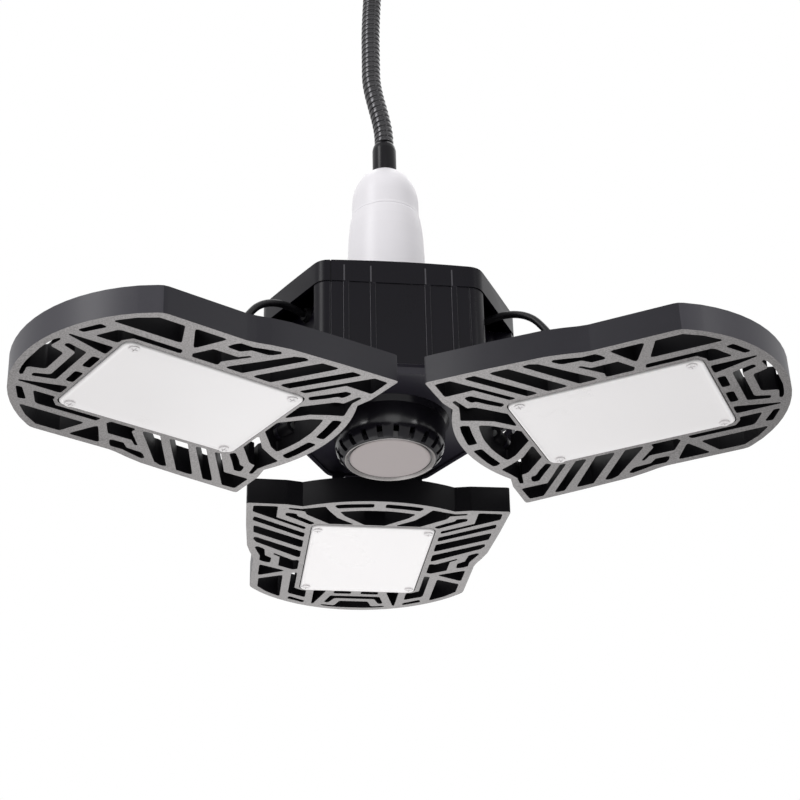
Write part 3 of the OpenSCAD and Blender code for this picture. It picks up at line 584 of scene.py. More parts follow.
FINISHES = (
    Finish("hub_black", (0.0021, 0.0014, 0.0046), (0.0015, 0.001, 0.0034), 0.3, specular=0.14,
           **HUB_SKIN),
    # painted highlight: a lighter copy of the hub black for the lid's ribs and eased edges
    Finish("hub_painted_highlight", (0.06, 0.057, 0.067), (0.045, 0.043, 0.05), 0.34, specular=0.3,
           **HUB_SKIN),
    Finish("hub_plate", (0.02, 0.018, 0.027), (0.015, 0.0135, 0.02), 0.36, specular=0.25,
           **HUB_SKIN),
    # painted highlight: light grey for the housing's eased edges, where light catches the rib edges
    Finish("hub_edge_painted_highlight", (0.15, 0.145, 0.165), (0.11, 0.106, 0.12), 0.34, specular=0.4,
           **HUB_SKIN),
    Finish("frame_paint", (0.038, 0.036, 0.046), (0.03, 0.0285, 0.0365), 0.42, specular=0.3,
           **FRAME_SKIN),
    # painted shade: a darker copy of the frame paint for the side walls
    Finish("frame_side", (0.019, 0.018, 0.024), (0.015, 0.0142, 0.019), 0.42, specular=0.2,
           **FRAME_SKIN),
    # painted shade: a near-black copy of the frame paint for the walls inside the openings and all else off
    # the outline
    Finish("frame_inside", (0.008, 0.0075, 0.009), (0.005, 0.0047, 0.006), 0.5, specular=0.1,
           **FRAME_SKIN),
    Finish("frame_face", (0.32, 0.307, 0.306), (0.14, 0.134, 0.134), 0.36, metallic=0.85,
           speck=1400.0, speck_share=0.85, noise=2400.0, bump=0.3, spread=0.14),
    Finish("opal", (0.875, 0.855, 0.858), (0.855, 0.835, 0.838), 0.3, coat=0.15, blotch=14.0,
           speck_share=0.1, cell=600.0, noise=900.0, bump=0.04, subsurface=0.15),
    Finish("white_moulding", (0.775, 0.756, 0.788), (0.75, 0.732, 0.763), 0.36, specular=0.35,
           blotch=24.0, speck_share=0.2, cell=700.0, noise=1400.0, bump=0.05, spread=0.05),
    Finish("gunmetal", (0.052, 0.051, 0.054), (0.034, 0.0335, 0.037), 0.17, metallic=0.9,
           coat=0.4, blotch=120.0, speck_share=0.4, cell=2200.0, bump=0.08, spread=0.08),
    Finish("dark_steel", (0.0045, 0.0038, 0.006), (0.0032, 0.0027, 0.0045), 0.24, specular=0.18,
           blotch=90.0, cell=2000.0, bump=0.08, spread=0.08),
    Finish("bowl_black", (0.01, 0.009, 0.013), (0.0075, 0.0068, 0.0098), 0.2, specular=0.42,
           cell=1200.0, bump=0.08, spread=0.06),
    Finish("bright_rim", (0.34, 0.322, 0.318), (0.26, 0.247, 0.243), 0.28, metallic=0.9,
           speck=3000.0, bump=0.12),
    Finish("warm_disc", (0.335, 0.298, 0.296), (0.295, 0.262, 0.26), 0.46, metallic=0.35,
           speck=3200.0, speck_share=0.7, bump=0.22),
    Finish("plated_screw", (0.6, 0.6, 0.61), (0.45, 0.45, 0.46), 0.27, metallic=1.0,
           blotch=300.0, bump=0.1, spread=0.14),
    Finish("lens_screw", (0.83, 0.81, 0.815), (0.78, 0.76, 0.765), 0.35, blotch=300.0, bump=0.06),
    Finish("zinc_steel", (0.47, 0.475, 0.48), (0.33, 0.335, 0.34), 0.38, metallic=0.95,
           blotch=160.0, speck_share=0.3, bump=0.14, spread=0.2),
    Finish("brass", (0.6, 0.43, 0.18), (0.45, 0.31, 0.12), 0.32, metallic=1.0,
           blotch=140.0, bump=0.12, spread=0.16),
    Finish("lamp_shell", (0.62, 0.62, 0.63), (0.5, 0.5, 0.51), 0.3, metallic=1.0,
           blotch=120.0, bump=0.1, spread=0.16),
    Finish("black_glass", (0.012, 0.01, 0.009), (0.008, 0.007, 0.006), 0.12, coat=0.4,
           bump=0.04),
    Finish("lead_rubber", (0.007, 0.0068, 0.008), (0.005, 0.0048, 0.006), 0.38, specular=0.25,
           blotch=200.0, cell=2600.0, bump=0.14, spread=0.12),
    Finish("cable_skin", (0.66, 0.65, 0.63), (0.58, 0.57, 0.55), 0.5, bump=0.1),
    Finish("core_skin", (0.12, 0.045, 0.02), (0.09, 0.03, 0.014), 0.42, bump=0.08),
    Finish("nylon", (0.68, 0.65, 0.57), (0.6, 0.57, 0.5), 0.5, subsurface=0.1, bump=0.12),
    Finish("circuit_green", (0.025, 0.12, 0.045), (0.018, 0.09, 0.034), 0.4, coat=0.3,
           bump=0.1),
    Finish("part_grey", (0.05, 0.05, 0.055), (0.03, 0.03, 0.034), 0.45, bump=0.12),
    Finish("board_white", (0.78, 0.78, 0.77), (0.72, 0.72, 0.71), 0.42, bump=0.06),
    Finish("chip_yellow", (0.78, 0.62, 0.16), (0.7, 0.54, 0.12), 0.35, bump=0.05),
    Finish("canopy_paint", (0.02, 0.02, 0.022), (0.014, 0.014, 0.016), 0.4, specular=0.6,
           cell=1400.0, bump=0.2, spread=0.12),
)

NODE_FINISH = {
    "ceiling_strap": "zinc_steel",
    "canopy": "canopy_paint",
    "canopy_screws": "plated_screw",
    "terminal_block": "nylon",
    "core_wires": "core_skin",
    "hose_lock_nut": "brass",
    "hose_collar": "dark_steel",
    "hose_upper": "gunmetal",
    "hose_middle": "gunmetal",
    "hose_lower": "gunmetal",
    "cable_upper": "cable_skin",
    "cable_middle": "cable_skin",
    "cable_lower": "cable_skin",
    "holder_ferrule": "dark_steel",
    "holder_cap": "white_moulding",
    "holder_skirt": "white_moulding",
    "holder_carrier": "nylon",
    "holder_centre_contact": "brass",
    "holder_screw_shell": "brass",
    "holder_terminal_screws": "plated_screw",
    "base_contact": "plated_screw",
    "base_insulator": "black_glass",
    "base_shell": "lamp_shell",
    "lid": "hub_black",
    "housing": "hub_black",
    "base_plate": "hub_plate",
    "driver_board": "circuit_green",
    "driver_parts": "part_grey",
    "vent_bowl": "bowl_black",
    "bowl_rim": "bright_rim",
    "centre_disc": "warm_disc",
    "hub_screws": "plated_screw",
    "hinge_pins": "zinc_steel",
    "lead_grommets": "lead_rubber",
}
PANEL_FINISH = {
    "frame": "frame_paint",
    "led_board": "board_white",
    "led_chips": "chip_yellow",
    "gasket": "lead_rubber",
    "lens": "opal",
    "lens_screws": "lens_screw",
    "lead": "lead_rubber",
    "gland": "lead_rubber",
}


@dataclass
class Paintbox:
    """Makes each finish once and puts it on pieces."""

    effects: Effects
    made: dict[str, bpy.types.Material] = field(default_factory=dict)

    def mix(self) -> None:
        """Builds every finish."""
        self.made = {f.name: f.material(self.effects) for f in FINISHES}

    def coat(self, piece: bpy.types.Object, *names: str) -> None:
        """Puts one or more finishes into a piece's slots, in order.

        Args:
            piece: the piece, whose faces all go back to the first slot.
            names: names of the finishes.
        """
        piece.data.materials.clear()
        for name in names:
            piece.data.materials.append(self.made[name])

    def coat_nodes(self) -> None:
        """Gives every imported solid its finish."""
        table = dict(NODE_FINISH)
        for panel in Panel:
            table.update({f"{panel.key}_{k}": v for k, v in PANEL_FINISH.items()})
        for node, name in table.items():
            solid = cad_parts[node]
            for slot in solid.material_slots:
                slot.link = "OBJECT"
                slot.material = self.made[name]


# ---------------------------------------------------------------- gooseneck and leads


@dataclass
class Gooseneck:
    """Wound metal hose, made in two lengths that each bend across one joint."""

    socket_r: float = 4.95
    swell: float = 0.7
    groove: float = 0.65
    band_from: float = 0.3
    band_run: float = 0.45
    pitch: float = 3.7
    samples: int = 16
    sides: int = 28
    bottom: float = 205.0
    middle: float = 285.0
    top: float = 367.8
    swell_low: float = 212.7
    swell_high: float = 359.8
    swell_run: float = 1.6
    cable_r: float = 2.4
    cable_bottom: float = 162.2
    cable_top: float = 380.0
    cable_step: float = 2.0
    cable_sides: int = 16
    bend_levels: tuple = (336.0, 292.0, 278.0, 238.0)
    sway: float = 7.1
    sway_out: tuple = (216.0, 50.0)
    sway_back: tuple = (290.0, 60.0)
    side: tuple = (0.0, 1.0, 0.0)

    def line(self, level: Array) -> Array:
        """Centre line: a gentle sway to one side and back to the canopy's axis.

        The sway goes out and comes back by smoothsteps of (level - start) / run, and
        each of the two fields holds its start and run.

        Args:
            level: levels, in millimetres.

        Returns:
            Points of shape (n, 3), in metres.
        """
        (out, out_run), (back, back_run) = self.sway_out, self.sway_back
        x = -self.sway * smooth((level - out) / out_run)
        x = x + (self.sway - LAMP_OFFSET) * smooth((level - back) / back_run)
        return on_lamp(np.stack([x, np.zeros_like(x), level], -1))

    def length(self, name: str, low: float, high: float) -> bpy.types.Object:
        """One length of hose.

        The radius is R - g (1 - w), where w is smoothstep((|sin(pi f)| - a) / b) with
        the start a and run b of the band's flank, and f is the level over the pitch
        less the turn round the hose, so the wound band climbs as a helix. R is the
        socket's radius inside the ferrule and the collar, and swells between them.

        Args:
            name: name of the piece.
            low: lower level, in millimetres.
            high: upper level, in millimetres.

        Returns:
            The piece.
        """
        rows = int((high - low) / self.pitch * self.samples)
        level = np.linspace(low, high, rows + 1)
        turn = np.linspace(0.0, 2.0 * math.pi, self.sides, endpoint=False)
        phase = level[:, None] / self.pitch - turn[None, :] / (2.0 * math.pi)
        band = smooth((np.abs(np.sin(math.pi * phase)) - self.band_from) / self.band_run)
        free = smooth((level - self.swell_low) / self.swell_run)
        free = free * smooth((self.swell_high - level) / self.swell_run)
        crest = (self.socket_r + self.swell * free)[:, None]
        radius = (crest - self.groove * (1.0 - band)) / MM
        return tube(name, self.line(level), np.array(self.side), radius, self.sides)

    def cable(self, name: str, low: float, high: float) -> bpy.types.Object:
        """One length of the supply cable inside the hose, a plain round skin.

        Args:
            name: name of the piece.
            low: lower level, in millimetres.
            high: upper level, in millimetres.

        Returns:
            The piece.
        """
        level = np.linspace(low, high, int((high - low) / self.cable_step))
        line, side = self.line(level), np.array(self.side)
        return tube(name, line, side, self.cable_r / MM, self.cable_sides)

    def build(self, paint: Paintbox) -> None:
        """Builds and hangs both lengths of hose and of cable.

        Args:
            paint: the finishes.
        """
        upper = self.length("gooseneck_upper", self.middle, self.top)
        lower = self.length("gooseneck_lower", self.bottom, self.middle)
        core_upper = self.cable("cable_in_upper_neck", self.middle, self.cable_top)
        core_lower = self.cable("cable_in_lower_neck", self.cable_bottom, self.middle)
        ends = self.line(np.array(self.bend_levels))
        for piece in (upper, core_upper):
            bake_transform(piece, "ceiling_fitting", "neck", start=ends[0], end=ends[1])
        for piece in (lower, core_lower):
            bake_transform(piece, "neck", "lampholder", start=ends[2], end=ends[3])
        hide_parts("hose_upper", "hose_middle")
        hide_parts("hose_lower")
        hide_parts("cable_upper", "cable_middle")
        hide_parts("cable_lower")
        for piece in (upper, lower):
            paint.coat(piece, "gunmetal")
        for piece in (core_upper, core_lower):
            paint.coat(piece, "cable_skin")
        log.info("gooseneck: two lengths of hose and of cable")


@dataclass
class PanelLead:
    """Supply lead that arches from the hub down to the back of its panel."""

    panel: Panel
    radius: float = 2.0
    sides: int = 20
    span_steps: int = 5
    still_points: float = 4.0
    turning_points: float = 10.0
    bend_top: tuple = (60.0, 0.0, 76.0)
    bend_low: tuple = (90.0, 0.0, 18.0)
    route: tuple = (
        (49.6, 75.2), (53.0, 75.2), (57.6, 75.3), (62.0, 76.0), (68.0, 76.5), (74.2, 75.7),
        (80.1, 73.5), (85.3, 69.9), (89.4, 65.1), (93.7, 58.2), (96.6, 50.6), (98.1, 43.4),
        (98.4, 38.2), (97.9, 34.0), (96.1, 30.0), (93.2, 26.4), (90.6, 23.3), (88.7, 19.2),
        (88.0, 14.6), (88.0, 8.5),
    )

    def line(self) -> Array:
        """Centre line: the route, whose lower part follows its gland as the panel droops.

        Point i turns about the hinge pin by the droop times smoothstep((i - s) / n),
        with s still points and n turning ones. A Catmull-Rom curve runs through them.

        Returns:
            Points of shape (n, 3), in metres.
        """
        flat = np.array(self.route)
        share = smooth((np.arange(len(flat)) - self.still_points) / self.turning_points)
        reach, level = drooped(flat[:, 0], flat[:, 1], self.panel.droop * share)
        curve = through(np.stack([reach, level], -1), self.span_steps)
        points = np.stack([curve[:, 0], 0.0 * curve[:, 0], curve[:, 1]], -1)
        return turned(points, self.panel.turn)

    def build(self, paint: Paintbox) -> None:
        """Builds, declares and hangs the lead.

        Args:
            paint: the finishes.
        """
        key = self.panel.key
        line = self.line()
        turn = self.panel.turn
        side = np.array([-math.sin(turn), math.cos(turn), 0.0])
        piece = tube(f"{key}_supply_lead", line, side, self.radius / MM, self.sides)
        paint.coat(piece, "lead_rubber")
        top = turned(np.array(self.bend_top), turn)
        low = turned(np.array(self.bend_low), turn)
        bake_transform(piece, "hub", f"{key}_panel", start=top, end=low)
        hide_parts(f"{key}_lead")


# ---------------------------------------------------------------- lampholder


@dataclass
class Lampholder:
    """White two-part lampholder under its dark ferrule: walls as radius and level."""

    ferrule_wall: tuple = (
        (3.2, 191.8), (7.0, 191.8), (7.0, 208.5), (6.6, 210.8), (5.9, 212.5),
        (5.3, 212.5), (5.3, 204.9), (3.2, 204.9),
    )
    skirt_wall: tuple = (
        (20.3, 110.0), (21.7, 110.0), (22.2, 110.8), (22.0, 132.0), (21.5, 145.0),
        (20.9, 152.0), (20.1, 157.6), (19.8, 158.9), (17.4, 158.9), (17.4, 156.9),
        (19.0, 145.0),
    )
    cap_collar: tuple = (
        (17.3, 159.0), (19.7, 159.0), (19.65, 159.6), (19.4, 161.0), (19.32, 164.0),
    )
    cap_crown: tuple = ((7.3, 191.68), (3.2, 191.68), (3.2, 186.8))
    dome_level: float = 169.0
    dome_outside: tuple = (19.3, 24.5, 67.0)
    dome_inside: tuple = (17.3, 21.5, 60.0)

    def ferrule(self) -> bpy.types.Object:
        """Turned ferrule with an eased shoulder, a wall from bore to skin."""
        return lathe("lampholder_ferrule", softened(np.array(self.ferrule_wall), radius=0.5))

    def dome(self, size: tuple, steps: int) -> Array:
        """Quarter ellipse (r cos a, level + h sin a), with a from 0 to its end.

        Args:
            size: r and h in millimetres, and the end of a in degrees.
            steps: number of points.

        Returns:
            Points of shape (steps, 2).
        """
        radius, height, end = size
        a = np.radians(np.linspace(0.0, end, steps))
        return np.stack([radius * np.cos(a), self.dome_level + height * np.sin(a)], -1)

    def cap(self) -> bpy.types.Object:
        """Domed cap: an ellipse of revolution over a short collar.

        Returns:
            The piece.
        """
        profile = np.vstack([
            softened(np.array(self.cap_collar), radius=0.3, closed=False),
            self.dome(self.dome_outside, steps=26),
            softened(np.array(self.cap_crown), radius=0.5, closed=False),
            self.dome(self.dome_inside, steps=16)[::-1],
        ])
        return lathe("lampholder_cap", profile)

    def skirt(self) -> bpy.types.Object:
        """Tapered skirt with a rolled lower edge."""
        return lathe("lampholder_skirt", softened(np.array(self.skirt_wall), radius=0.4))

    def build(self, paint: Paintbox) -> None:
        """Builds the three shells and hangs them on the lampholder's body.

        Args:
            paint: the finishes.
        """
        for piece, node, finish, slot in (
            (self.ferrule(), "holder_ferrule", "dark_steel", "gunmetal"),
            (self.cap(), "holder_cap", "white_moulding", "white_plastic"),
            (self.skirt(), "holder_skirt", "white_moulding", "white_plastic"),
        ):
            paint.coat(piece, finish)
            hang(piece, "lampholder", node)
            log.info("lampholder: %s", piece.name)


# ---------------------------------------------------------------- hub


@dataclass
class Hub:
    """Black six-sided hub with its slotted bowl and centre disc."""

    bowl_level: float = 3.4
    disc_r: float = 20.4
    disc_low: float = 0.12
    disc_crown: float = 0.1
    disc_edge: tuple = ((21.2, 0.26), (21.7, 0.5), (21.8, 0.8), (21.8, 1.0), (0.0, 1.0))
    rim_wall: tuple = ((22.5, 0.8), (24.1, -0.5), (24.5, -0.35), (24.5, 1.0), (22.5, 1.0))
    corner_side: float = 57.3
    rib_proud: float = 0.2
    corner_turns: tuple = (30.0, 150.0, 270.0)

    def disc(self) -> bpy.types.Object:
        """Centre disc, a shallow crown from the axis to a rolled edge.

        At radius r the crown's level is low + crown (r / R)^2, where R is its radius.

        Returns:
            The piece.
        """
        r = np.linspace(0.0, self.disc_r, 12)
        crown = np.stack([r, self.disc_low + self.disc_crown * (r / self.disc_r) ** 2], -1)
        profile = np.vstack([crown, self.disc_edge]) + (0.0, self.bowl_level)
        return lathe("hub_centre_disc", profile, closed=False)

    def rim(self) -> bpy.types.Object:
        """Bright rim round the disc, a cone that opens downwards."""
        profile = softened(np.array(self.rim_wall), radius=0.15) + (0.0, self.bowl_level)
        return lathe("hub_bright_rim", profile)

    def lid(self, paint: Paintbox) -> bpy.types.Object:
        """Lid whose thin ribs and eased edges carry a painted highlight.

        A face gets the painted highlight, a lighter copy of the hub black, where its centre, measured along
        one of the three corner directions, lies further out than the corner face by more than `rib_proud`.
        The eased edges get it through their slot.

        Args:
            paint: the finishes.

        Returns:
            The piece, already coated.
        """
        piece = fine_copy("lid", "hub_lid", bevel=0.5, edge_slot=1)
        paint.coat(piece, "hub_black", "hub_painted_highlight")
        mesh = piece.data
        centre = np.zeros(len(mesh.polygons) * 3)
        mesh.polygons.foreach_get("center", centre)
        spot = centre.reshape(-1, 3)[:, :2] * MM - (LAMP_OFFSET, 0.0)
        turns = np.radians(self.corner_turns)
        along = (spot @ np.stack([np.cos(turns), np.sin(turns)])).max(axis=1)
        # painted highlight on the faces of the ribs
        proud = along > self.corner_side + self.rib_proud
        mesh.polygons.foreach_set("material_index", proud.astype(np.int32))
        return piece

    def build(self, paint: Paintbox) -> None:
        """Builds the hub's outer pieces and hangs them on the hub's body.

        Args:
            paint: the finishes.
        """
        disc, rim = self.disc(), self.rim()
        lid = self.lid(paint)
        housing = fine_copy("housing", "hub_housing", bevel=0.35, edge_slot=1)
        base = fine_copy("base_plate", "hub_base", bevel=0.35)
        bowl = fine_copy("vent_bowl", "hub_vent_bowl", bevel=0.2)
        paint.coat(disc, "warm_disc")
        paint.coat(rim, "bright_rim")
        # the housing's eased edges take the painted highlight in the second slot
        paint.coat(housing, "hub_black", "hub_edge_painted_highlight")
        paint.coat(base, "hub_plate")
        paint.coat(bowl, "bowl_black")
        for piece, node, slot in (
            (disc, "centre_disc", "warm_grey_metal"),
            (rim, "bowl_rim", "bright_metal"),
            (lid, "lid", "black_plastic"),
            (housing, "housing", "black_plastic"),
            (base, "base_plate", "black_metal"),
            (bowl, "vent_bowl", "black_plastic"),
        ):
            hang(piece, "hub", node)
            log.info("hub: %s", piece.name)


# ---------------------------------------------------------------- panels


class LatticePlace(Enum):
    """Places on the lattice casting and their finishes, in the order of its slots; the side and inside
    finishes are painted shade.
    """

    INSIDE = "frame_inside"
    FACE = "frame_face"
    TIP = "frame_paint"
    SIDE = "frame_side"

    @property
    def slot(self) -> int:
        """Number of the place's material slot."""
        return list(LatticePlace).index(self)


@dataclass
class LightPanel:
    """Cast lattice frame with its opal lens."""

    panel: Panel
    flat_cos: float = 0.999
    upright_cos: float = 0.8
    face_depth: float = 0.2
    side_depth: float = 0.6
    side_from: float = 51.0
    side_reach: tuple = (50.3, 82.0, 112.0, 122.0, 129.0, 134.0)
    side_half: tuple = (74.6, 73.3, 71.4, 69.4, 67.5, 66.7)
    tip_centre: float = 136.0
    tip_r: float = 78.9
    tip_from: float = 178.0
    lens_low: float = 78.75
    lens_high: float = 180.65
    lens_half: float = 35.55
    corner: float = 4.6
    least_corner: float = 0.6
    corner_points: int = 9
    lens_inset: tuple = (0.6, 0.0, 0.0, 0.12, 0.45, 0.95, 1.5, 1.9, 2.4, 6.0, 16.0)
    lens_level: tuple = (
        2.4, 2.2, 0.0, -0.45, -0.78, -0.9, -0.82, -0.66, -0.6, -0.56, -0.55,
    )

    def frame(self, paint: Paintbox) -> bpy.types.Object:
        """Lattice casting with eased edges, finished by place, with painted shade on its walls.

        Faces in the lit plane are bare metal. Walls close to the outline get the frame paint at the tip and
        painted shade, a darker copy of it, along the sides, and all else gets a near-black painted shade.
        The outline is an arc about `tip_centre` at the tip, and a half width
        interpolated between a few reaches along the sides.

        Args:
            paint: the finishes.

        Returns:
            The piece, already coated.
        """
        key = self.panel.key
        piece = fine_copy(f"{key}_frame", f"{key}_lattice", bevel=0.3)
        paint.coat(piece, *(place.value for place in LatticePlace))
        mesh = piece.data
        count = len(mesh.polygons)
        normal, centre = np.zeros(count * 3), np.zeros(count * 3)
        mesh.polygons.foreach_get("normal", normal)
        mesh.polygons.foreach_get("center", centre)
        axes = on_panel(np.vstack([np.zeros(3), np.eye(3)]), self.panel)
        basis = (axes[1:] - axes[0]) * MM
        reach, across, height = ((centre.reshape(-1, 3) - axes[0]) @ basis.T * MM).T
        facing_up = (normal.reshape(-1, 3) @ basis.T)[:, 2]
        lit = (facing_up < -self.flat_cos) & (height < self.face_depth)
        upright = np.abs(facing_up) < self.upright_cos
        half = np.interp(reach, self.side_reach, self.side_half)
        side = (np.abs(across) > half - self.side_depth) & (reach > self.side_from)
        tip = np.hypot(reach - self.tip_centre, across) > self.tip_r
        tip &= reach > self.tip_from
        # painted shade: the side walls and all faces off the outline and the lit plane take darker copies of
        # the frame paint
        slots = np.select(
            [lit, upright & tip, upright & side],
            [LatticePlace.FACE.slot, LatticePlace.TIP.slot, LatticePlace.SIDE.slot],
            LatticePlace.INSIDE.slot,
        )
        mesh.polygons.foreach_set("material_index", slots.astype(np.int32))
        return piece

    def lens(self) -> bpy.types.Object:
        """Opal lens: nested rounded rectangles, drawn in and lowered by a profile.

        Ring k is the outline drawn in by d_k at height h_k. The outline is four
        quarter circles of the corner radius about the corners of an inner rectangle.

        Returns:
            The piece.
        """
        inset = np.array(self.lens_inset)[:, None]
        level = np.array(self.lens_level)[:, None]
        quarter = np.radians(np.linspace(0.0, 90.0, self.corner_points))
        t = np.concatenate([quarter + math.radians(90.0) * i for i in range(4)])
        sx = np.repeat([1.0, -1.0, -1.0, 1.0], self.corner_points)
        sy = np.repeat([1.0, 1.0, -1.0, -1.0], self.corner_points)
        middle = (self.lens_low + self.lens_high) / 2.0
        half = (self.lens_high - self.lens_low) / 2.0
        r = np.maximum(self.corner - inset, self.least_corner)
        x = middle + sx * (half - inset - r) + r * np.cos(t)
        y = sy * (self.lens_half - inset - r) + r * np.sin(t)
        points = on_panel(np.stack([x, y, level + 0.0 * x], -1), self.panel)
        sides = len(t)
        faces = grid_faces(len(inset), sides, False, True)
        last = (len(inset) - 1) * sides
        faces += [list(range(sides)), list(range(last, last + sides))]
        return new_object(f"{self.panel.key}_opal_lens", points, faces, angle=40.0)

    def build(self, paint: Paintbox) -> None:
        """Builds the panel's shown pieces and hangs them on its body.

        Args:
            paint: the finishes.
        """
        key = self.panel.key
        body = f"{key}_panel"
        frame = self.frame(paint)
        lens = self.lens()
        paint.coat(lens, "opal")
        screws = fine_copy(f"{key}_lens_screws", f"{key}_corner_screws", bevel=0.15)
        paint.coat(screws, "lens_screw")
        hang(frame, body, f"{key}_frame")
        hang(lens, body, f"{key}_lens")
        hang(screws, body, f"{key}_lens_screws")
        log.info("%s panel: lattice, lens, screws", key)


# ---------------------------------------------------------------- ceiling fitting


@dataclass
class CeilingFitting:
    """Canopy with its collar, strap and screws."""

    radius: float = 45.0
    depth: float = 22.0
    wall: float = 1.4
    shoulder: float = 7.0
    bore: float = 5.2
    lip: float = 0.35
    collar_wall: tuple = (
        (5.4, -12.0), (7.4, -12.0), (8.4, -9.5), (8.4, -0.05), (5.05, -0.05),
        (5.05, 4.6), (3.6, 4.6), (3.6, -3.9), (5.4, -3.9),
    )

    def canopy(self) -> bpy.types.Object:
        """Spun canopy: a flat floor, a rounded shoulder and a straight wall.

        The shoulder's two sides are arcs about one centre, (c + s cos a, m + s sin a).

        Returns:
            The piece.
        """
        a = np.radians(np.linspace(-84.0, 0.0, 12))
        arc = np.stack([np.cos(a), np.sin(a)], -1)
        low, rim = -self.depth, self.radius
        centre = np.array([rim - self.shoulder, low + self.shoulder])
        flat = centre[0] - 1.0
        profile = np.vstack([
            [(self.bore, low), (20.0, low), (flat, low)],
            centre + self.shoulder * arc,
            [(rim, -1.0), (rim - 0.3, -self.lip), (rim - self.wall, -self.lip)],
            (centre + (self.shoulder - self.wall) * arc)[::-1],
            [(flat, low + self.wall), (self.bore, low + self.wall)],
        ])
        return lathe("ceiling_canopy", profile, on_ceiling, sides=128)

    def collar(self) -> bpy.types.Object:
        """Collar that holds the top of the gooseneck, drawn from the canopy's floor."""
        profile = softened(np.array(self.collar_wall), radius=0.4) - (0.0, self.depth)
        return lathe("ceiling_collar", profile, on_ceiling)

    def build(self, paint: Paintbox) -> None:
        """Builds the ceiling pieces and hangs them on the fixed body.

        Args:
            paint: the finishes.
        """
        pieces = [
            (self.canopy(), "canopy", "canopy_paint", "black_metal"),
            (self.collar(), "hose_collar", "dark_steel", "gunmetal"),
        ]
        for node, bevel, finish, slot in (
            ("ceiling_strap", 0.3, "zinc_steel", "steel"),
            ("canopy_screws", 0.35, "plated_screw", "bright_screw"),
            ("terminal_block", 0.5, "nylon", "nylon"),
            ("hose_lock_nut", 0.3, "brass", "brass"),
        ):
            pieces.append((fine_copy(node, f"fine_{node}", bevel), node, finish, slot))
        for piece, node, finish, slot in pieces:
            paint.coat(piece, finish)
            hang(piece, "ceiling_fitting", node)
            log.info("ceiling: %s", piece.name)


# ---------------------------------------------------------------- studio


HEART = (0.005, 0.0, -0.33)  # middle of the lamp, in metres


@dataclass(frozen=True)
class SoftLamp:
    """Rectangular lamp: its place and aim in metres, face in metres, power in watts."""

    name: str
    spot: tuple
    aim: tuple
    face: tuple
    power: float

    def build(self) -> None:
        """Hangs the lamp."""
        data = bpy.data.lights.new(self.name, "AREA")
        data.shape = "RECTANGLE"
        data.size, data.size_y = self.face
        data.energy = self.power
        lamp = bpy.data.objects.new(self.name, data)
        lamp.location = self.spot
        line = Vector(self.aim) - Vector(self.spot)
        lamp.rotation_euler = line.to_track_quat("-Z", "Y").to_euler()
        bpy.context.scene.collection.objects.link(lamp)


LAMPS = (
    SoftLamp("strip_left", (-0.62, -0.42, 0.1), (-0.07, -0.05, -0.2), (0.26, 0.8), 3.7),
    SoftLamp("strip_right", (0.56, -0.58, -0.2), (0.12, -0.05, -0.37), (0.14, 0.5), 0.95),
    SoftLamp("soft_below", (-0.03, 0.3, -1.05), (0.005, 0.08, -0.39), (0.9, 0.9), 2.95),
    SoftLamp("soft_behind", (0.1, 0.95, -0.8), (0.005, 0.12, -0.39), (0.35, 0.35), 0.5),
    SoftLamp("soft_front", (0.0, -1.6, 0.1), HEART, (0.8, 0.8), 2.0),
    SoftLamp("soft_top", (0.2, 0.3, 0.6), HEART, (0.9, 0.9), 2.4),
)


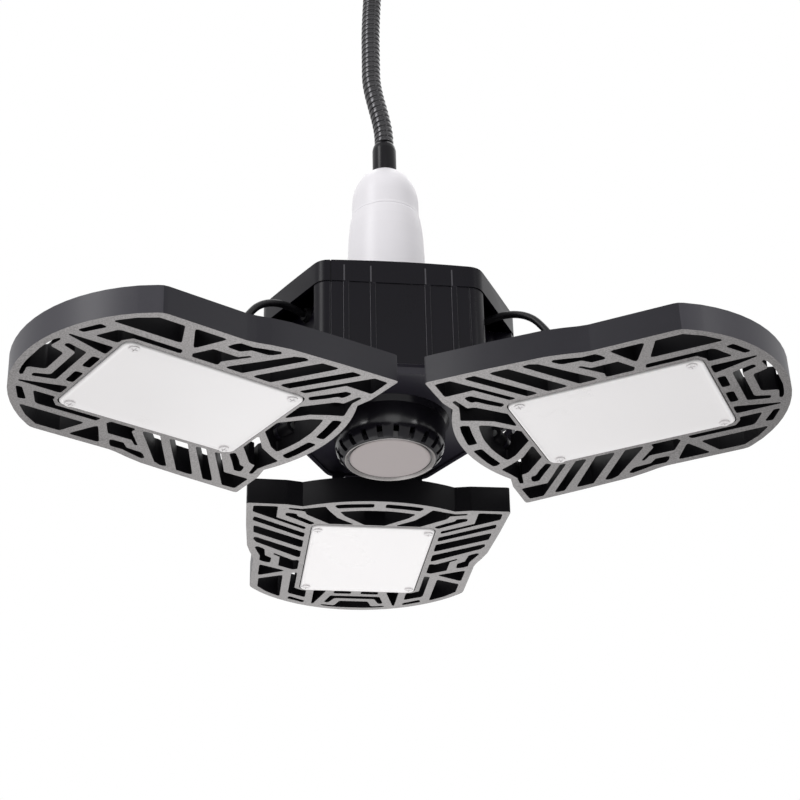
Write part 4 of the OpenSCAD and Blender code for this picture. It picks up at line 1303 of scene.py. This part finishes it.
@dataclass
class Studio:
    """White studio: pale floor, soft lamps and the photograph's camera.

    The camera's distance, focal length, slide and middle are in millimetres and
    pixels of a picture `picture` pixels wide and high, as they were fitted.
    """

    azimuth: float = -7.66
    elevation: float = -29.34
    roll: float = -1.37
    distance: float = 972.86
    focal: float = 1815.35
    slide: tuple = (5.80, 35.42)
    middle: tuple = (402.98, 399.36)
    axis_x: float = -1.0
    picture: float = 800.0
    sensor: float = 36.0
    floor_z: float = -2.5
    floor_half: float = 11.5
    fill: float = 0.6

    def camera(self) -> None:
        """Places the camera that was fitted to the photograph.

        The camera looks at the lamp axis from the given angles, then slides
        sideways and upwards in its own frame and rolls about its line of sight.
        """
        a, e, r = (math.radians(v) for v in (self.azimuth, self.elevation, self.roll))
        back = np.array([math.sin(a) * math.cos(e), -math.cos(a) * math.cos(e), math.sin(e)])
        right = np.array([math.cos(a), math.sin(a), 0.0])
        up = np.cross(back, right)
        turned_right = math.cos(r) * right + math.sin(r) * up
        turned_up = math.cos(r) * up - math.sin(r) * right
        spot = back * self.distance + turned_right * self.slide[0] + turned_up * self.slide[1]
        spot = on_lamp(spot - (self.axis_x, 0.0, 0.0))
        data = bpy.data.cameras.new("photo_camera")
        data.sensor_width = self.sensor
        data.lens = self.sensor * self.focal / self.picture
        data.shift_x = 0.5 - self.middle[0] / self.picture
        data.shift_y = self.middle[1] / self.picture - 0.5
        data.clip_start, data.clip_end = 0.01, 50.0
        camera = bpy.data.objects.new("photo_camera", data)
        frame = np.eye(4)
        frame[:3, :3] = np.stack([turned_right, turned_up, back], 1)
        frame[:3, 3] = spot
        camera.matrix_world = Matrix(frame.tolist())
        bpy.context.scene.collection.objects.link(camera)
        bpy.context.scene.camera = camera

    def floor(self) -> None:
        """Pale floor, so low that a camera beneath the lamp still stands above it."""
        h, z = self.floor_half, self.floor_z
        mesh = bpy.data.meshes.new("studio_floor")
        mesh.from_pydata([(-h, -h, z), (h, -h, z), (h, h, z), (-h, h, z)], [], [(0, 1, 2, 3)])
        floor = bpy.data.objects.new("studio_floor", mesh)
        bpy.context.scene.collection.objects.link(floor)
        paint = bpy.data.materials.new("studio_floor")
        paint.use_nodes = True
        skin = paint.node_tree.nodes["Principled BSDF"]
        skin.inputs["Base Color"].default_value = (0.86, 0.86, 0.86, 1.0)
        skin.inputs["Roughness"].default_value = 0.9
        mesh.materials.append(paint)

    def world(self) -> None:
        """White surroundings: full white to the camera and in reflections, `fill` else."""
        world = bpy.data.worlds.new("studio_world")
        world.use_nodes = True
        n, link = world.node_tree.nodes, world.node_tree.links.new
        sky = n["Background"]
        sky.inputs["Color"].default_value = (1.0, 1.0, 1.0, 1.0)
        path = n.new("ShaderNodeLightPath")
        seen = n.new("ShaderNodeMath")
        seen.operation = "MAXIMUM"
        clear = n.new("ShaderNodeMath")
        clear.operation = "MAXIMUM"
        link(path.outputs["Is Camera Ray"], seen.inputs[0])
        link(path.outputs["Is Glossy Ray"], seen.inputs[1])
        link(seen.outputs[0], clear.inputs[0])
        link(path.outputs["Is Transmission Ray"], clear.inputs[1])
        level = n.new("ShaderNodeMapRange")
        level.inputs["To Min"].default_value = self.fill
        level.inputs["To Max"].default_value = 1.0
        link(clear.outputs[0], level.inputs["Value"])
        link(level.outputs["Result"], sky.inputs["Strength"])
        bpy.context.scene.world = world

    def build(self) -> None:
        """Builds the studio."""
        bpy.context.scene.view_settings.view_transform = "Standard"
        self.camera()
        self.floor()
        self.world()
        for lamp in LAMPS:
            lamp.build()
        log.info("studio: camera, floor, world and %d lamps", len(LAMPS))


# ---------------------------------------------------------------- making


def main() -> None:
    """Builds the camera and the cords first, then the rest."""
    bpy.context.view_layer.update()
    Studio().build()
    paint = Paintbox(Effects())
    paint.mix()
    paint.coat_nodes()
    for panel in Panel:
        PanelLead(panel).build(paint)
    Gooseneck().build(paint)
    Lampholder().build(paint)
    Hub().build(paint)
    for panel in Panel:
        LightPanel(panel).build(paint)
    CeilingFitting().build(paint)
    log.info("every piece is in place")


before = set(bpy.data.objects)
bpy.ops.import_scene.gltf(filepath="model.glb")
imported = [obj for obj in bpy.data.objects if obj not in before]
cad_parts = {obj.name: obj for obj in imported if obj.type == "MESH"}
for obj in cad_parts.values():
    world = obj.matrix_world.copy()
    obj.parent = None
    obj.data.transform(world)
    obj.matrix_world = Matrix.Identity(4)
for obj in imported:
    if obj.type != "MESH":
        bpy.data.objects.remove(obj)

if __name__ == "__main__":
    logging.basicConfig(level=logging.INFO, format="%(message)s")
    main()
